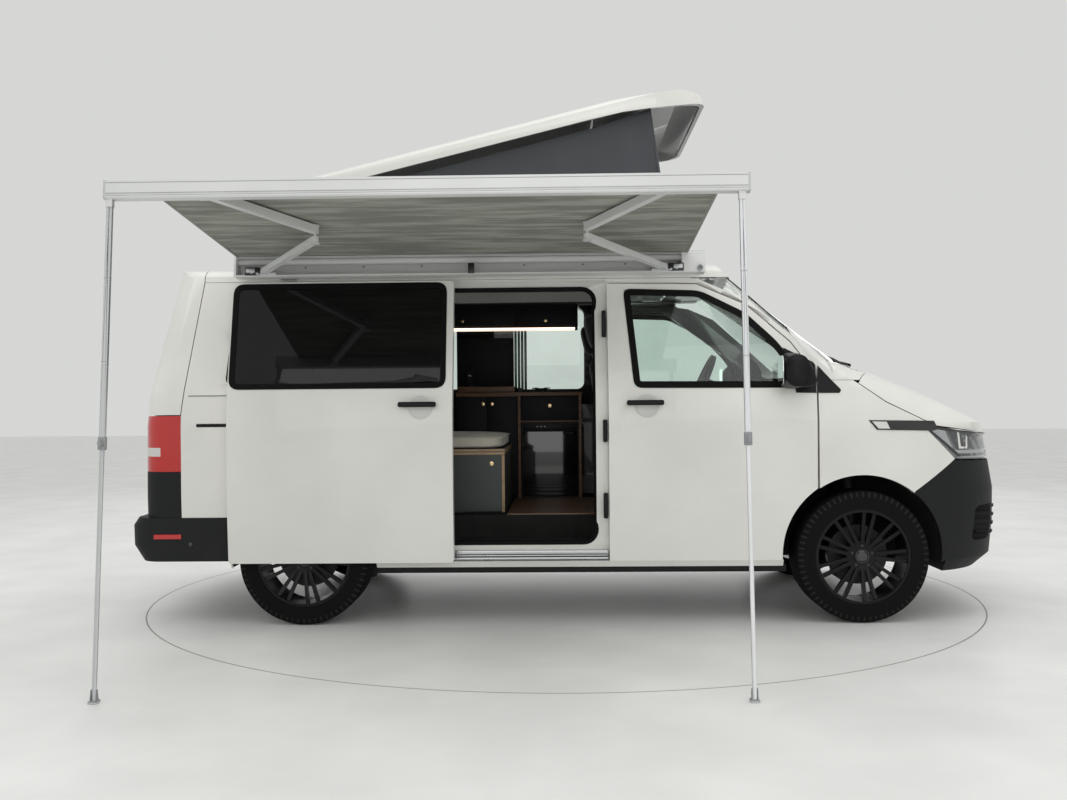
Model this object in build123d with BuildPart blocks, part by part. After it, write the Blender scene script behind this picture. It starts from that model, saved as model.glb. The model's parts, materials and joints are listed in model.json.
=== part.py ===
"""Short-wheelbase camper van with a pop-top roof and a roof-mounted folding-arm awning.

Frame: millimetres, +X forward, +Y to the left, +Z up.  The origin is on the road, under the middle
of the wheelbase and on the van's centre line.  The awning is out on the right-hand side, the sliding
door is slid back and the pop-top is raised: that is the rest pose of every joint.
"""

import os
from math import atan2, cos, degrees, hypot, radians, sin, tan

from build123d import *

# ----------------------------------------------------------------------------- driving dimensions
# running gear
WHEELBASE = 3000
TRACK = 1628
TYRE_RADIUS = 352
TYRE_WIDTH = 250
TYRE_SHOULDER = 28
RIM_RADIUS = 254
RIM_LIP = 12
RIM_WALL = 10
SPOKE_PAIRS = 9
SPOKE_THICKNESS = 26
SPOKE_WIDTH = 19
HUB_RADIUS = 82
CAP_RADIUS = 32
AXLE_BORE = 35
AXLE_CLEARANCE = 0.05
STEER_LEAN = 11.7
STEER_FOOT = 735

# body shell
GAP = 5
WALL = 60
SILL_HEIGHT = 300
DOOR_BOTTOM = 338
LOWER_CREASE = 520
SHOULDER_CREASE = 1078
BELT_HEIGHT = 1255
RAIL_HEIGHT = 1868
ROOF_HEIGHT = 1990
BODY_HALF = 952
BELT_HALF = 937
RAIL_HALF = 800
REAR_END = -2414
REAR_LEAN = 0.2
NOSE_END = 2400
NOSE_LENGTH = 620
TAIL_CORNER = 150
SCREEN_BASE = 1766
SCREEN_SLOPE = 1.402
FLOOR_TOP = 560
FLOOR_THICKNESS = 60
FLOOR_HALF = 830
ARCH_RADIUS = 422
LINER_RADIUS = 440
LINER_WALL = 5
ARCH_HEIGHT = 368
GLASS = 6
GLASS_CLEARANCE = 1

# doors
B_PILLAR = 145
FRONT_DOOR_FRONT = 1264
DOOR_TOP = 1845
SLIDING_DOOR_LENGTH = 1206
SLIDING_DOOR_TRAVEL = 822
SLIDING_DOOR_STEP = 76
DOOR_SWING_X = (1012, 1162)
DOOR_SWING_Z = (1440, 1600)
DOOR_SWING_NEAR = 780
DOOR_SWING_FAR = 843
TAIL_SHUT_TOP = -2068
TAIL_SHUT_BOTTOM = -2158
TAILGATE_HALF = 745
TAILGATE_SILL = 583
LAMP_BOTTOM = 832
LAMP_TOP = 1134

# pop-top roof
POPTOP_TILT = 13.6
POPTOP_LENGTH = 2660
POPTOP_HALF = 715
POPTOP_HEIGHT = 92
POPTOP_SKIN = 22
LIFT_ARM = 547
LIFT_SWING = 37.5
LIFT_BASE_X = -1163
LIFT_BASE_Z = 2050
LIFT_HALF = 580
ROOF_FRAME_HALF = 665
ROOF_FRAME_TOP = 2014
ROOF_OPENING_HALF = 545
CANVAS_HALF = 640
CANVAS_WALL = 8

# awning
AWNING_PITCH = 5.3
AWNING_Y = -905
AWNING_Z = 1938
CASE_LENGTH = 2547
CASE_MIDDLE = -598
CASE_HEIGHT = 117
CASE_WALL = 5
END_CAP = 126
BAR_LENGTH = 2690
BAR_MIDDLE = -664
BAR_HEIGHT = 79
BAR_DEPTH = 45
BAR_DROP = 16
WRIST_OFFSET = 26
SHOULDER_SPREAD = 1089
SHOULDER_MIDDLE = -626
UPPER_ARM = 820
FOREARM = 710
UPPER_ANGLE = 57.7
FORE_ANGLE = 62.5
ARM_WIDTH = 34
ARM_HEIGHT = 36
ARM_GAP = 6
FABRIC_WIDTH = 2440
FABRIC_MIDDLE = -636
FABRIC_THICKNESS = 3
LEG_SPREAD = 1316
LEG_MIDDLE = -670
LEG_WIDTH = 24
LEG_DEPTH = 18
LEG_WALL = 2
LEG_CLEARANCE = 1.5
LEG_UPPER = 1010
LEG_OVERLAP = 60
LEG_PIVOT = 20

# fittings inside
KITCHEN_FACE = 440
COUNTER_TOP = 1262
COUNTER_BOARD = 22
LOCKER_BOTTOM = 1706
LOCKER_TOP = 1852
LOCKER_FACE = 520
BENCH_FRONT = -434
BENCH_LENGTH = 800
BENCH_TOP = 926
CUSHION_THICKNESS = 92
SEAT_OFFSET = 455
SEAT_WIDTH = 480
PLY = 16

HALF_BASE = WHEELBASE / 2
HALF_TRACK = TRACK / 2


# ----------------------------------------------------------------------------- body volume
def flank(z):
    """Half width of the cabin above the belt line, at the height z."""
    return BELT_HALF - (BELT_HALF - RAIL_HALF) * (z - BELT_HEIGHT) / (RAIL_HEIGHT - BELT_HEIGHT)


def tail_x(z):
    """Rear end of the body on the centre line, at a height above the belt line."""
    return REAR_END + 14 + REAR_LEAN * (z - BELT_HEIGHT)


# height, half width, nose on the centre line, tail on the centre line
TUB_ROWS = (
    (SILL_HEIGHT - 38, BODY_HALF - 72, NOSE_END - 90, REAR_END + 40),
    (DOOR_BOTTOM, BODY_HALF - 26, NOSE_END - 16, REAR_END + 8),
    (LOWER_CREASE, BODY_HALF - 13, NOSE_END, REAR_END),
    (700, BODY_HALF - 2, NOSE_END, REAR_END),
    (SHOULDER_CREASE, BODY_HALF, NOSE_END - 62, REAR_END + 2),
    (BELT_HEIGHT, BELT_HALF, NOSE_END - 160, REAR_END + 14),
    (1400, flank(1400), NOSE_END - 240, tail_x(1400)),
)


def tub_outline(half, nose, tail):
    """Closed plan outline of the lower body: flat flanks, an arched nose and a tail with round corners."""
    with BuildSketch() as outline:
        with BuildLine():
            start = (nose - NOSE_LENGTH, half)
            cheek = (nose - 0.45 * NOSE_LENGTH, half - 0.1 * BODY_HALF)
            brow = (nose - 78, 0.6 * half)
            rear = (tail + TAIL_CORNER, half)
            corner = (tail + 0.45 * TAIL_CORNER, half - 0.27 * TAIL_CORNER)
            back = (tail + 0.24 * TAIL_CORNER, half - TAIL_CORNER)
            ThreePointArc(start, cheek, brow)
            ThreePointArc(brow, (nose, 0), (brow[0], -brow[1]))
            ThreePointArc((brow[0], -brow[1]), (cheek[0], -cheek[1]), (start[0], -start[1]))
            Line((start[0], -start[1]), (rear[0], -rear[1]))
            ThreePointArc((rear[0], -rear[1]), (corner[0], -corner[1]), (back[0], -back[1]))
            ThreePointArc((back[0], -back[1]), (tail, 0), back)
            ThreePointArc(back, corner, rear)
            Line(rear, start)
        make_face()
    return outline.sketch


def cabin_outline(half, screen, screen_side, tail):
    """Closed plan outline of the cabin: the windscreen is its front arc."""
    with BuildSketch() as outline:
        with BuildLine():
            rear = (tail + TAIL_CORNER, half)
            corner = (tail + 0.45 * TAIL_CORNER, half - 0.27 * TAIL_CORNER)
            back = (tail + 0.24 * TAIL_CORNER, half - TAIL_CORNER)
            ThreePointArc((screen_side, half), (screen, 0), (screen_side, -half))
            Line((screen_side, -half), (rear[0], -rear[1]))
            ThreePointArc((rear[0], -rear[1]), (corner[0], -corner[1]), (back[0], -back[1]))
            ThreePointArc((back[0], -back[1]), (tail, 0), back)
            ThreePointArc(back, corner, rear)
            Line(rear, (screen_side, half))
        make_face()
    return outline.sketch


# bonnet sections: x, crown height, height where the shoulder starts, height at the flank
BONNET_ROWS = ((1350, 1455, 1420, 1300), (1800, 1314, 1258, 1010), (2420, 1010, 940, 660))
BONNET_HALF = 700


def body_volume(inset):
    """The whole body as one closed solid, set in from its outer faces by the distance given."""
    base = TUB_ROWS[0][0] + inset
    rows = [(base, *TUB_ROWS[0][1:])] + [row for row in TUB_ROWS[1:] if row[0] > base + 5]
    with BuildPart() as tub:
        for z, half, nose, tail in rows:
            with BuildSketch(Plane.XY.offset(z)):
                add(tub_outline(half - inset, nose - inset, tail + inset))
        loft(ruled=True)
    with BuildPart() as mound:
        for x, crown, shoulder, side in BONNET_ROWS:
            with BuildSketch(Plane.YZ.offset(x)):
                with BuildLine():
                    edge = BODY_HALF + 30
                    mid = (BONNET_HALF + 0.62 * (edge - BONNET_HALF), side + 0.66 * (shoulder - side))
                    Line((-edge, 100), (edge, 100))
                    Line((edge, 100), (edge, side - inset))
                    ThreePointArc(
                        (edge, side - inset), (mid[0], mid[1] - inset), (BONNET_HALF, shoulder - inset)
                    )
                    ThreePointArc(
                        (BONNET_HALF, shoulder - inset), (0, crown - inset), (-BONNET_HALF, shoulder - inset)
                    )
                    ThreePointArc(
                        (-BONNET_HALF, shoulder - inset), (-mid[0], mid[1] - inset), (-edge, side - inset)
                    )
                    Line((-edge, side - inset), (-edge, 100))
                make_face()
        loft()
    with BuildPart() as nose:
        add(tub.part)
        add(mound.part, mode=Mode.INTERSECT)
    with BuildPart() as rear_tub:
        add(tub.part)
        with BuildSketch(Plane.XY):
            with Locations((BONNET_ROWS[0][0] + 30, 0)):
                Rectangle(6000, 3000, align=(Align.MAX, Align.CENTER))
        extrude(amount=BELT_HEIGHT, mode=Mode.INTERSECT)
    top = 2 * ROOF_HEIGHT - RAIL_HEIGHT
    with BuildPart() as cabin:
        for z in (BELT_HEIGHT, top):
            with BuildSketch(Plane.XY.offset(z)):
                rise = z - BELT_HEIGHT
                add(
                    cabin_outline(
                        flank(z) - inset,
                        SCREEN_BASE - SCREEN_SLOPE * rise - 1.7 * inset,
                        SCREEN_BASE - 340 - 0.99 * rise - 1.4 * inset,
                        tail_x(z) + inset,
                    )
                )
        loft(ruled=True)
        # crowned roof, seen from the front and from the side
        with BuildSketch(Plane.YZ.offset(-3000)):
            with BuildLine():
                rail = RAIL_HALF + 25 - inset
                knee = RAIL_HALF - 95
                low = RAIL_HEIGHT - 35 - inset
                brow = ROOF_HEIGHT - 45 - inset
                Polyline((-rail, low), (-1100, low), (-1100, 1000), (1100, 1000), (1100, low), (rail, low))
                ThreePointArc((rail, low), (knee + 78, brow - 34), (knee, brow))
                ThreePointArc((knee, brow), (0, ROOF_HEIGHT - inset), (-knee, brow))
                ThreePointArc((-knee, brow), (-knee - 78, brow - 34), (-rail, low))
            make_face()
        extrude(amount=6000, mode=Mode.INTERSECT)
        with BuildSketch(Plane.XZ.offset(-1500)):
            with BuildLine():
                low = 1000
                back = (tail_x(RAIL_HEIGHT) - 60, RAIL_HEIGHT - 10 - inset)
                bend = (tail_x(RAIL_HEIGHT) + 110, ROOF_HEIGHT - 36 - inset)
                front = (SCREEN_BASE - SCREEN_SLOPE * (1945 - BELT_HEIGHT) - 20, 1946 - inset)
                behind = back[0] - 400
                Polyline(back, (behind, back[1]), (behind, low), (2400, low), (2400, 1790), front)
                ThreePointArc(front, (-500, ROOF_HEIGHT - inset), bend)
                ThreePointArc(bend, (bend[0] - 90, bend[1] - 22), back)
            make_face()
        extrude(amount=3000, mode=Mode.INTERSECT)
    with BuildPart() as volume:
        add(rear_tub.part)
        add(nose.part)
        add(cabin.part)
    return volume.part


outer = body_volume(0)
inner = body_volume(WALL)
frame_core = body_volume(WALL + 45)
glass_outer = body_volume(GLASS_CLEARANCE)
glass_inner = body_volume(GLASS_CLEARANCE + GLASS)
skin = outer - inner
door_skin = outer - body_volume(WALL - GAP)
inner_frame = inner - frame_core
# joints between the inner trim panels: a groove of this width in the innermost layer at each x
TRIM_JOINTS = (-1900, -1450, -1010, 112)
TRIM_GROOVE = 6
trim_layer = body_volume(WALL + 41) - frame_core
glass_skin = glass_outer - glass_inner

SIDES = {"right": -1, "left": 1}
FRONT_HUB = HALF_BASE
REAR_HUB = -HALF_BASE


def side_plane(side):
    """Vertical plane on the centre line; its normal points to the side given."""
    return Plane.XZ if side < 0 else Plane(origin=(0, 0, 0), x_dir=(1, 0, 0), z_dir=(0, 1, 0))


def side_prism(points, side, near=560, far=1100, corner=0, shrink=0):
    """Solid through one side of the van, from a closed outline of x, z points."""
    flip = 1 if side < 0 else -1
    with BuildPart() as prism:
        with BuildSketch(side_plane(side).offset(near)) as outline:
            with BuildLine():
                Polyline(*[(x, flip * z) for x, z in points], close=True)
            make_face()
            if corner:
                fillet(outline.vertices(), corner)
            if shrink:
                offset(amount=-shrink, kind=Kind.INTERSECTION, mode=Mode.REPLACE)
        extrude(amount=far - near)
    return prism.part


def across_prism(points, half=1200):
    """Solid across the whole width of the van, from a closed outline of x, z points."""
    with BuildPart() as prism:
        with BuildSketch(Plane.XZ):
            with BuildLine():
                Polyline(*points, close=True)
            make_face()
        extrude(amount=half, both=True)
    return prism.part


def lift_prism(x_low, x_high, y_low, y_high, z_low, z_high):
    """Upright block between the corners given."""
    with BuildPart() as block:
        with BuildSketch(Plane.XY.offset(z_low)):
            with Locations(((x_low + x_high) / 2, (y_low + y_high) / 2)):
                Rectangle(x_high - x_low, y_high - y_low)
        extrude(amount=z_high - z_low)
    return block.part


def wheel_tunnel(x, radius, near, far):
    """Round opening over one axle, through both sides of the van."""
    with BuildPart() as tunnel:
        for side in SIDES.values():
            with BuildSketch(side_plane(side).offset(near)):
                with Locations((x, ARCH_HEIGHT * (1 if side < 0 else -1))):
                    Circle(radius)
            extrude(amount=far - near)
            with BuildSketch(side_plane(side).offset(near)):
                with Locations((x, ARCH_HEIGHT * (0.5 if side < 0 else -0.5))):
                    Rectangle(2 * radius, ARCH_HEIGHT)
            extrude(amount=far - near)
    return tunnel.part


front_arch = wheel_tunnel(FRONT_HUB, ARCH_RADIUS, 700, 1100)
rear_arch = wheel_tunnel(REAR_HUB, ARCH_RADIUS - 30, 600, 1100)

# shut lines seen from the side: x, z
PILLAR_FOOT = 1297
A_PILLAR_LINE = ((640, 1838), (902, 1722), (1133, 1512), (1238, 1364), (FRONT_DOOR_FRONT, 1300))
BONNET_LINE = ((1441, 1308), (1625, 1176), (1804, 1088), (1887, 1046), (2160, 1010), (2500, 1000))
LAMP_OUTLINE = ((1828, 1038), (1890, 1040), (2160, 1004), (2420, 990), (2420, 872), (2231, 862), (1996, 872))
BUMPER_LINE = ((1770, 700), (1990, 866), (2231, 856), (2500, 856))
DOOR_WINDOW = ((242, 1806), (292, 1268), (1165, 1262), (1108, 1440), (1052, 1515), (895, 1668), (655, 1792))


def inset_line(points, distance):
    """The same line of x, z points, moved down by the distance given."""
    return tuple((x, z - distance) for x, z in points)


# ----------------------------------------------------------------------------- doors
def front_door_outline(gap):
    """Outline of a front door as x, z points, smaller than its opening by the gap given."""
    rear = B_PILLAR + gap
    front = FRONT_DOOR_FRONT - gap
    top = inset_line(A_PILLAR_LINE, 1.4 * gap)
    edge = tuple((x - 0.4 * gap, z) for x, z in top[:-1])
    return (
        (rear, DOOR_BOTTOM),
        (rear, DOOR_TOP - gap),
        *edge,
        (front, A_PILLAR_LINE[-1][1] - gap),
        (front, DOOR_BOTTOM),
    )


def front_door(side):
    """Hollow front door with its window cut and its lower front corner cut by the wheel arch."""
    with BuildPart() as door:
        add(door_skin)
        add(side_prism(front_door_outline(GAP), side), mode=Mode.INTERSECT)
        add(wheel_tunnel(FRONT_HUB, ARCH_RADIUS + GAP, 700, 1100), mode=Mode.SUBTRACT)
        add(side_prism(DOOR_WINDOW, side), mode=Mode.SUBTRACT)
    return door.part


def front_door_glass(side):
    """Window of a front door."""
    with BuildPart() as glass:
        add(glass_skin)
        add(side_prism(DOOR_WINDOW, side, shrink=0.5), mode=Mode.INTERSECT)
    return glass.part


def mirror_housing(side):
    """Door mirror: a rounded housing on a short foot."""
    with BuildPart() as mirror:
        with BuildSketch(side_plane(side).offset(BODY_HALF + 8)):
            with Locations((1122, 1348 * (1 if side < 0 else -1))):
                RectangleRounded(150, 190, 60)
        with BuildSketch(side_plane(side).offset(BODY_HALF + 185)):
            with Locations((1118, 1344 * (1 if side < 0 else -1))):
                RectangleRounded(120, 165, 55)
        loft()
        with BuildSketch(side_plane(side).offset(flank(1300) - 0.5)):
            with Locations((1130, 1296 * (1 if side < 0 else -1))):
                RectangleRounded(90, 50, 20)
        extrude(amount=BODY_HALF + 30 - flank(1300))
        add(outer, mode=Mode.SUBTRACT)
    return mirror.part


SLIDE_FRONT = B_PILLAR - GAP
SLIDE_REAR = SLIDE_FRONT - SLIDING_DOOR_LENGTH
SLIDING_WINDOW = (
    (SLIDE_REAR + 18, DOOR_TOP - 8),
    (SLIDE_REAR + 18, BELT_HEIGHT + 28),
    (SLIDE_FRONT - 48, BELT_HEIGHT + 28),
    (SLIDE_FRONT - 48, DOOR_TOP - 8),
)

with BuildPart() as sliding_door:
    add(skin)
    add(
        side_prism(
            (
                (SLIDE_REAR, DOOR_BOTTOM + 4),
                (SLIDE_REAR, DOOR_TOP + 12),
                (SLIDE_FRONT, DOOR_TOP + 12),
                (SLIDE_FRONT, DOOR_BOTTOM + 4),
            ),
            -1,
            corner=18,
        ),
        mode=Mode.INTERSECT,
    )
    add(side_prism(SLIDING_WINDOW, -1, corner=50), mode=Mode.SUBTRACT)
open_door = Location((-SLIDING_DOOR_TRAVEL, -SLIDING_DOOR_STEP, 0))

# panes as x, z outlines: side, corner radius, outline
QUARTER_PANE = ((SLIDE_REAR - 60, 1842), (SLIDE_REAR - 60, 1288), (-1925, 1288), (-1888, 1842))
LEFT_PANE = ((60, 1842), (60, 1288), (-1010, 1288), (-1010, 1842))
LEFT_REAR_PANE = ((-1110, 1842), (-1110, 1288), (-1925, 1288), (-1888, 1842))
PANES = ((-1, QUARTER_PANE), (1, LEFT_PANE), (1, LEFT_REAR_PANE))

with BuildPart() as side_glass:
    for side, pane in PANES:
        with BuildPart(mode=Mode.PRIVATE) as sheet:
            add(glass_skin)
            add(side_prism(pane, side, corner=50), mode=Mode.INTERSECT)
        add(sheet.part)

with BuildPart() as sliding_door_glass:
    add(glass_skin)
    add(side_prism(SLIDING_WINDOW, -1, corner=50), mode=Mode.INTERSECT)

# ----------------------------------------------------------------------------- sides
SIDE_OUTLINE = (
    (B_PILLAR, SILL_HEIGHT + 4),
    (B_PILLAR, RAIL_HEIGHT),
    (TAIL_SHUT_TOP, RAIL_HEIGHT),
    (TAIL_SHUT_BOTTOM, LAMP_TOP),
    (TAIL_SHUT_BOTTOM, TAILGATE_SILL),
    (-1900, TAILGATE_SILL),
    (-1900, SILL_HEIGHT + 4),
)
DOORWAY = (
    (B_PILLAR - 62, FLOOR_TOP - 130),
    (B_PILLAR - 62, DOOR_TOP - 28),
    (SLIDE_REAR + 105, DOOR_TOP - 28),
    (SLIDE_REAR + 105, FLOOR_TOP - 130),
)


def body_side(side):
    """Fixed side: sill, roof rail, rear quarter, pillars and the inner frame round the door openings."""
    front_hole = (
        (B_PILLAR + 60, DOOR_BOTTOM + 70),
        (B_PILLAR + 60, DOOR_TOP - 36),
        (600, DOOR_TOP - 36),
        (FRONT_DOOR_FRONT - 130, 1430),
        (FRONT_DOOR_FRONT - 40, 1220),
        (FRONT_DOOR_FRONT - 40, 860),
        (1040, 700),
        (1000, DOOR_BOTTOM + 70),
    )
    with BuildPart() as panel:
        add(skin)
        whole = (
            (FRONT_DOOR_FRONT, SILL_HEIGHT + 4),
            (FRONT_DOOR_FRONT, A_PILLAR_LINE[-1][1]),
            *((x + 22, z + 16) for x, z in reversed(A_PILLAR_LINE[:-1])),
            (600, RAIL_HEIGHT),
            *SIDE_OUTLINE[2:],
        )
        add(side_prism(whole, side), mode=Mode.INTERSECT)
        add(side_prism(front_door_outline(0), side), mode=Mode.SUBTRACT)
        if side < 0:
            opening = (
                (SLIDE_REAR - GAP, DOOR_BOTTOM),
                (SLIDE_REAR - GAP, DOOR_TOP + 12 + GAP),
                (B_PILLAR + 1, DOOR_TOP + 12 + GAP),
                (B_PILLAR + 1, DOOR_BOTTOM),
            )
            add(side_prism(opening, side), mode=Mode.SUBTRACT)
        with BuildPart(mode=Mode.PRIVATE) as inner_side:
            add(inner_frame)
            add(side_prism(whole, side), mode=Mode.INTERSECT)
            add(side_prism(front_hole, side, corner=0), mode=Mode.SUBTRACT)
            if side < 0:
                add(side_prism(DOORWAY, side, corner=60), mode=Mode.SUBTRACT)
            for at in TRIM_JOINTS:
                with BuildPart(mode=Mode.PRIVATE) as joint:
                    add(trim_layer)
                    edges = (at - TRIM_GROOVE / 2, at + TRIM_GROOVE / 2)
                    add(lift_prism(*edges, -1200, 1200, 1180, RAIL_HEIGHT + 60), mode=Mode.INTERSECT)
                add(joint.part, mode=Mode.SUBTRACT)
            floor_slot = ((-2300, FLOOR_TOP + 2), (1300, FLOOR_TOP + 2), (1300, 250), (-2300, 250))
            add(side_prism(floor_slot, side, 500, FLOOR_HALF + 2), mode=Mode.SUBTRACT)
        add(inner_side.part)
        # room for the front door's upper corner as it swings out past the pillar
        recess = sorted((side * DOOR_SWING_NEAR, side * DOOR_SWING_FAR))
        add(lift_prism(*DOOR_SWING_X, *recess, *DOOR_SWING_Z), mode=Mode.SUBTRACT)
        for at, pane in PANES:
            if at == side:
                add(side_prism(pane, side, corner=50), mode=Mode.SUBTRACT)
        add(front_arch, mode=Mode.SUBTRACT)
        add(rear_arch, mode=Mode.SUBTRACT)
        add(wheel_tunnel(FRONT_HUB, LINER_RADIUS + 8, 455, BODY_HALF - 55), mode=Mode.SUBTRACT)
        add(wheel_tunnel(REAR_HUB, ARCH_RADIUS - 14, 600, BODY_HALF - 55), mode=Mode.SUBTRACT)
    return panel.part


# ----------------------------------------------------------------------------- front end
with BuildPart() as nose_region:
    add(skin)
    ahead = ((FRONT_DOOR_FRONT, 200), (3000, 200), (3000, 1600), (FRONT_DOOR_FRONT, 1600))
    add(across_prism(ahead), mode=Mode.INTERSECT)


def behind_screen(gap):
    """Everything behind the curved front edge of the windscreen's base."""
    with BuildPart() as block:
        with BuildSketch(Plane.XY.offset(SILL_HEIGHT)):
            with BuildLine():
                foot = SCREEN_BASE - 40 + gap
                side = SCREEN_BASE - 400 + gap
                ThreePointArc((side, 1100), (foot, 0), (side, -1100))
                Polyline((side, -1100), (-3000, -1100), (-3000, 1100), (side, 1100))
            make_face()
        extrude(amount=2000)
    return block.part


with BuildPart() as bonnet:
    add(nose_region.part)
    above = tuple((x, z + GAP) for x, z in BONNET_LINE)
    add(across_prism((*above, (2500, 1700), (1300, 1700), (1300, 1400))), mode=Mode.INTERSECT)
    add(behind_screen(GAP), mode=Mode.SUBTRACT)

with BuildPart() as front_wings:
    add(nose_region.part)
    below = (
        (FRONT_DOOR_FRONT + GAP, SILL_HEIGHT + 4),
        (FRONT_DOOR_FRONT + GAP, PILLAR_FOOT - 1),
        (1456, PILLAR_FOOT - 1),
        *BONNET_LINE[1:4],
        (1828, 1038),
        (1996, 872),
        (1990, 866),
        (1770, 700),
        (1770, SILL_HEIGHT + 4),
    )
    add(across_prism(below), mode=Mode.INTERSECT)
    add(front_arch, mode=Mode.SUBTRACT)
    add(wheel_tunnel(FRONT_HUB, LINER_RADIUS + 8, 455, BODY_HALF - 55), mode=Mode.SUBTRACT)
    add(lift_prism(1200, 2500, -700, 700, 200, 1600), mode=Mode.SUBTRACT)

with BuildPart() as front_bumper:
    add(nose_region.part)
    low = (*inset_line(BUMPER_LINE, 2), (2500, 200), (1770, 200))
    add(across_prism(low), mode=Mode.INTERSECT)
    add(front_arch, mode=Mode.SUBTRACT)
    add(wheel_tunnel(FRONT_HUB, LINER_RADIUS + 8, 455, BODY_HALF - 55), mode=Mode.SUBTRACT)
    # cooling mouth and corner intakes
    with BuildSketch(Plane.YZ.offset(2100)):
        with Locations((0, 470)):
            RectangleRounded(1050, 150, 40)
        with Locations((-770, 520), (770, 520)):
            RectangleRounded(150, 190, 30)
    extrude(amount=600, mode=Mode.SUBTRACT)
    # number plate plinth
    with BuildSketch(Plane.YZ.offset(NOSE_END - 30)):
        with Locations((0, 640)):
            Rectangle(530, 118)
    extrude(amount=34)

LAMP_INNER = 500

with BuildPart() as headlamps:
    add(nose_region.part)
    add(across_prism(LAMP_OUTLINE), mode=Mode.INTERSECT)
    add(lift_prism(1500, 2600, -LAMP_INNER, LAMP_INNER, 200, 1600), mode=Mode.SUBTRACT)

with BuildPart() as grille:
    add(nose_region.part)
    mouth = ((1990, 862), (2500, 862), (2500, 996), (2160, 1006), (1990, 1006))
    add(across_prism(mouth), mode=Mode.INTERSECT)
    add(across_prism(((2160, 1006), (2500, 996), (2500, 1200), (2160, 1200))), mode=Mode.SUBTRACT)
    with BuildSketch(Plane.XY.offset(200)):
        Rectangle(5200, 2 * LAMP_INNER - 4)
    extrude(amount=1500, mode=Mode.INTERSECT)
    with BuildSketch(Plane.YZ.offset(2150)):
        with Locations((0, 900), (0, 955)):
            Rectangle(2 * LAMP_INNER - 60, 26)
    extrude(amount=400, mode=Mode.SUBTRACT)


# panel between the engine bay and the cabin
with BuildPart() as bulkhead:
    with BuildSketch(Plane.YZ.offset(1150)):
        with Locations((0, 750)):
            Rectangle(2000, 1000)
    extrude(amount=12)
    add(frame_core, mode=Mode.INTERSECT)
    add(wheel_tunnel(FRONT_HUB, LINER_RADIUS + 8, 455, BODY_HALF - 55), mode=Mode.SUBTRACT)

# ----------------------------------------------------------------------------- roof and windscreen
SCREEN_FRAME = ((-800, 1345), (800, 1345), (700, 1878), (-700, 1878))


def forward_prism(points, start, length, corner=40):
    """Solid along the van, from a closed outline of y, z points."""
    with BuildPart() as prism:
        with BuildSketch(Plane.YZ.offset(start)) as outline:
            with BuildLine():
                Polyline(*points, close=True)
            make_face()
            fillet(outline.vertices(), corner)
        extrude(amount=length)
    return prism.part


FRAME_REAR = -1890
FRAME_FRONT = 575
OPENING_REAR = -1760
OPENING_FRONT = 450

with BuildPart() as roof_panel:
    add(skin)
    over_door = tuple((x + 22.5, z + 16.5) for x, z in A_PILLAR_LINE[:-1])
    roof_line = (
        (TAIL_SHUT_TOP, RAIL_HEIGHT + 0.5),
        (600, RAIL_HEIGHT + 0.5),
        *over_door,
        (FRONT_DOOR_FRONT + GAP, PILLAR_FOOT + 1),
        (1900, PILLAR_FOOT + 1),
        (1900, 2100),
        (TAIL_SHUT_TOP, 2100),
    )
    add(across_prism(roof_line), mode=Mode.INTERSECT)
    add(behind_screen(0), mode=Mode.INTERSECT)
    add(forward_prism(SCREEN_FRAME, 720, 1200), mode=Mode.SUBTRACT)
    with BuildSketch(Plane.XY.offset(1700)):
        with Locations(((FRAME_REAR + FRAME_FRONT) / 2, 0)):
            RectangleRounded(FRAME_FRONT - FRAME_REAR, 2 * ROOF_FRAME_HALF, 80)
    extrude(amount=ROOF_FRAME_TOP - 1700)
    with BuildSketch(Plane.XY.offset(1500)):
        with Locations(((FRAME_REAR + FRAME_FRONT) / 2, 0)):
            Rectangle(3600, 2 * ROOF_FRAME_HALF + 400)
    extrude(amount=ROOF_HEIGHT - WALL - 60 - 1500, mode=Mode.SUBTRACT)
    with BuildSketch(Plane.XY.offset(1600)):
        with Locations(((OPENING_REAR + OPENING_FRONT) / 2, 0)):
            RectangleRounded(OPENING_FRONT - OPENING_REAR, 2 * ROOF_OPENING_HALF, 60)
    extrude(amount=500, mode=Mode.SUBTRACT)

with BuildPart() as windscreen:
    add(glass_skin)
    pane = tuple((y - 1 if y > 0 else y + 1, z + (1 if z < 1500 else -1)) for y, z in SCREEN_FRAME)
    add(forward_prism(pane, 720, 1200), mode=Mode.INTERSECT)

# ----------------------------------------------------------------------------- rear end
TAIL_WINDOW = ((-690, 1300), (690, 1300), (600, 1812), (-600, 1812))

with BuildPart() as tailgate:
    add(skin)
    add(
        across_prism(
            (
                (TAIL_SHUT_TOP - GAP, 2100),
                (TAIL_SHUT_TOP - GAP, RAIL_HEIGHT),
                (TAIL_SHUT_BOTTOM - GAP, LAMP_TOP + GAP),
                (TAIL_SHUT_BOTTOM - GAP, TAILGATE_SILL + GAP),
                (-2700, TAILGATE_SILL + GAP),
                (-2700, 2100),
            )
        ),
        mode=Mode.INTERSECT,
    )
    for side in SIDES.values():
        edge = sorted((side * (TAILGATE_HALF - GAP), side * 1200))
        add(lift_prism(-2700, -1900, *edge, 200, LAMP_TOP + GAP), mode=Mode.SUBTRACT)
    add(forward_prism(TAIL_WINDOW, -2700, 600), mode=Mode.SUBTRACT)

with BuildPart() as tailgate_glass:
    add(glass_skin)
    pane = tuple((y - 0.5 if y > 0 else y + 0.5, z + (0.5 if z < 1500 else -0.5)) for y, z in TAIL_WINDOW)
    add(forward_prism(pane, -2700, 600), mode=Mode.INTERSECT)

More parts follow.
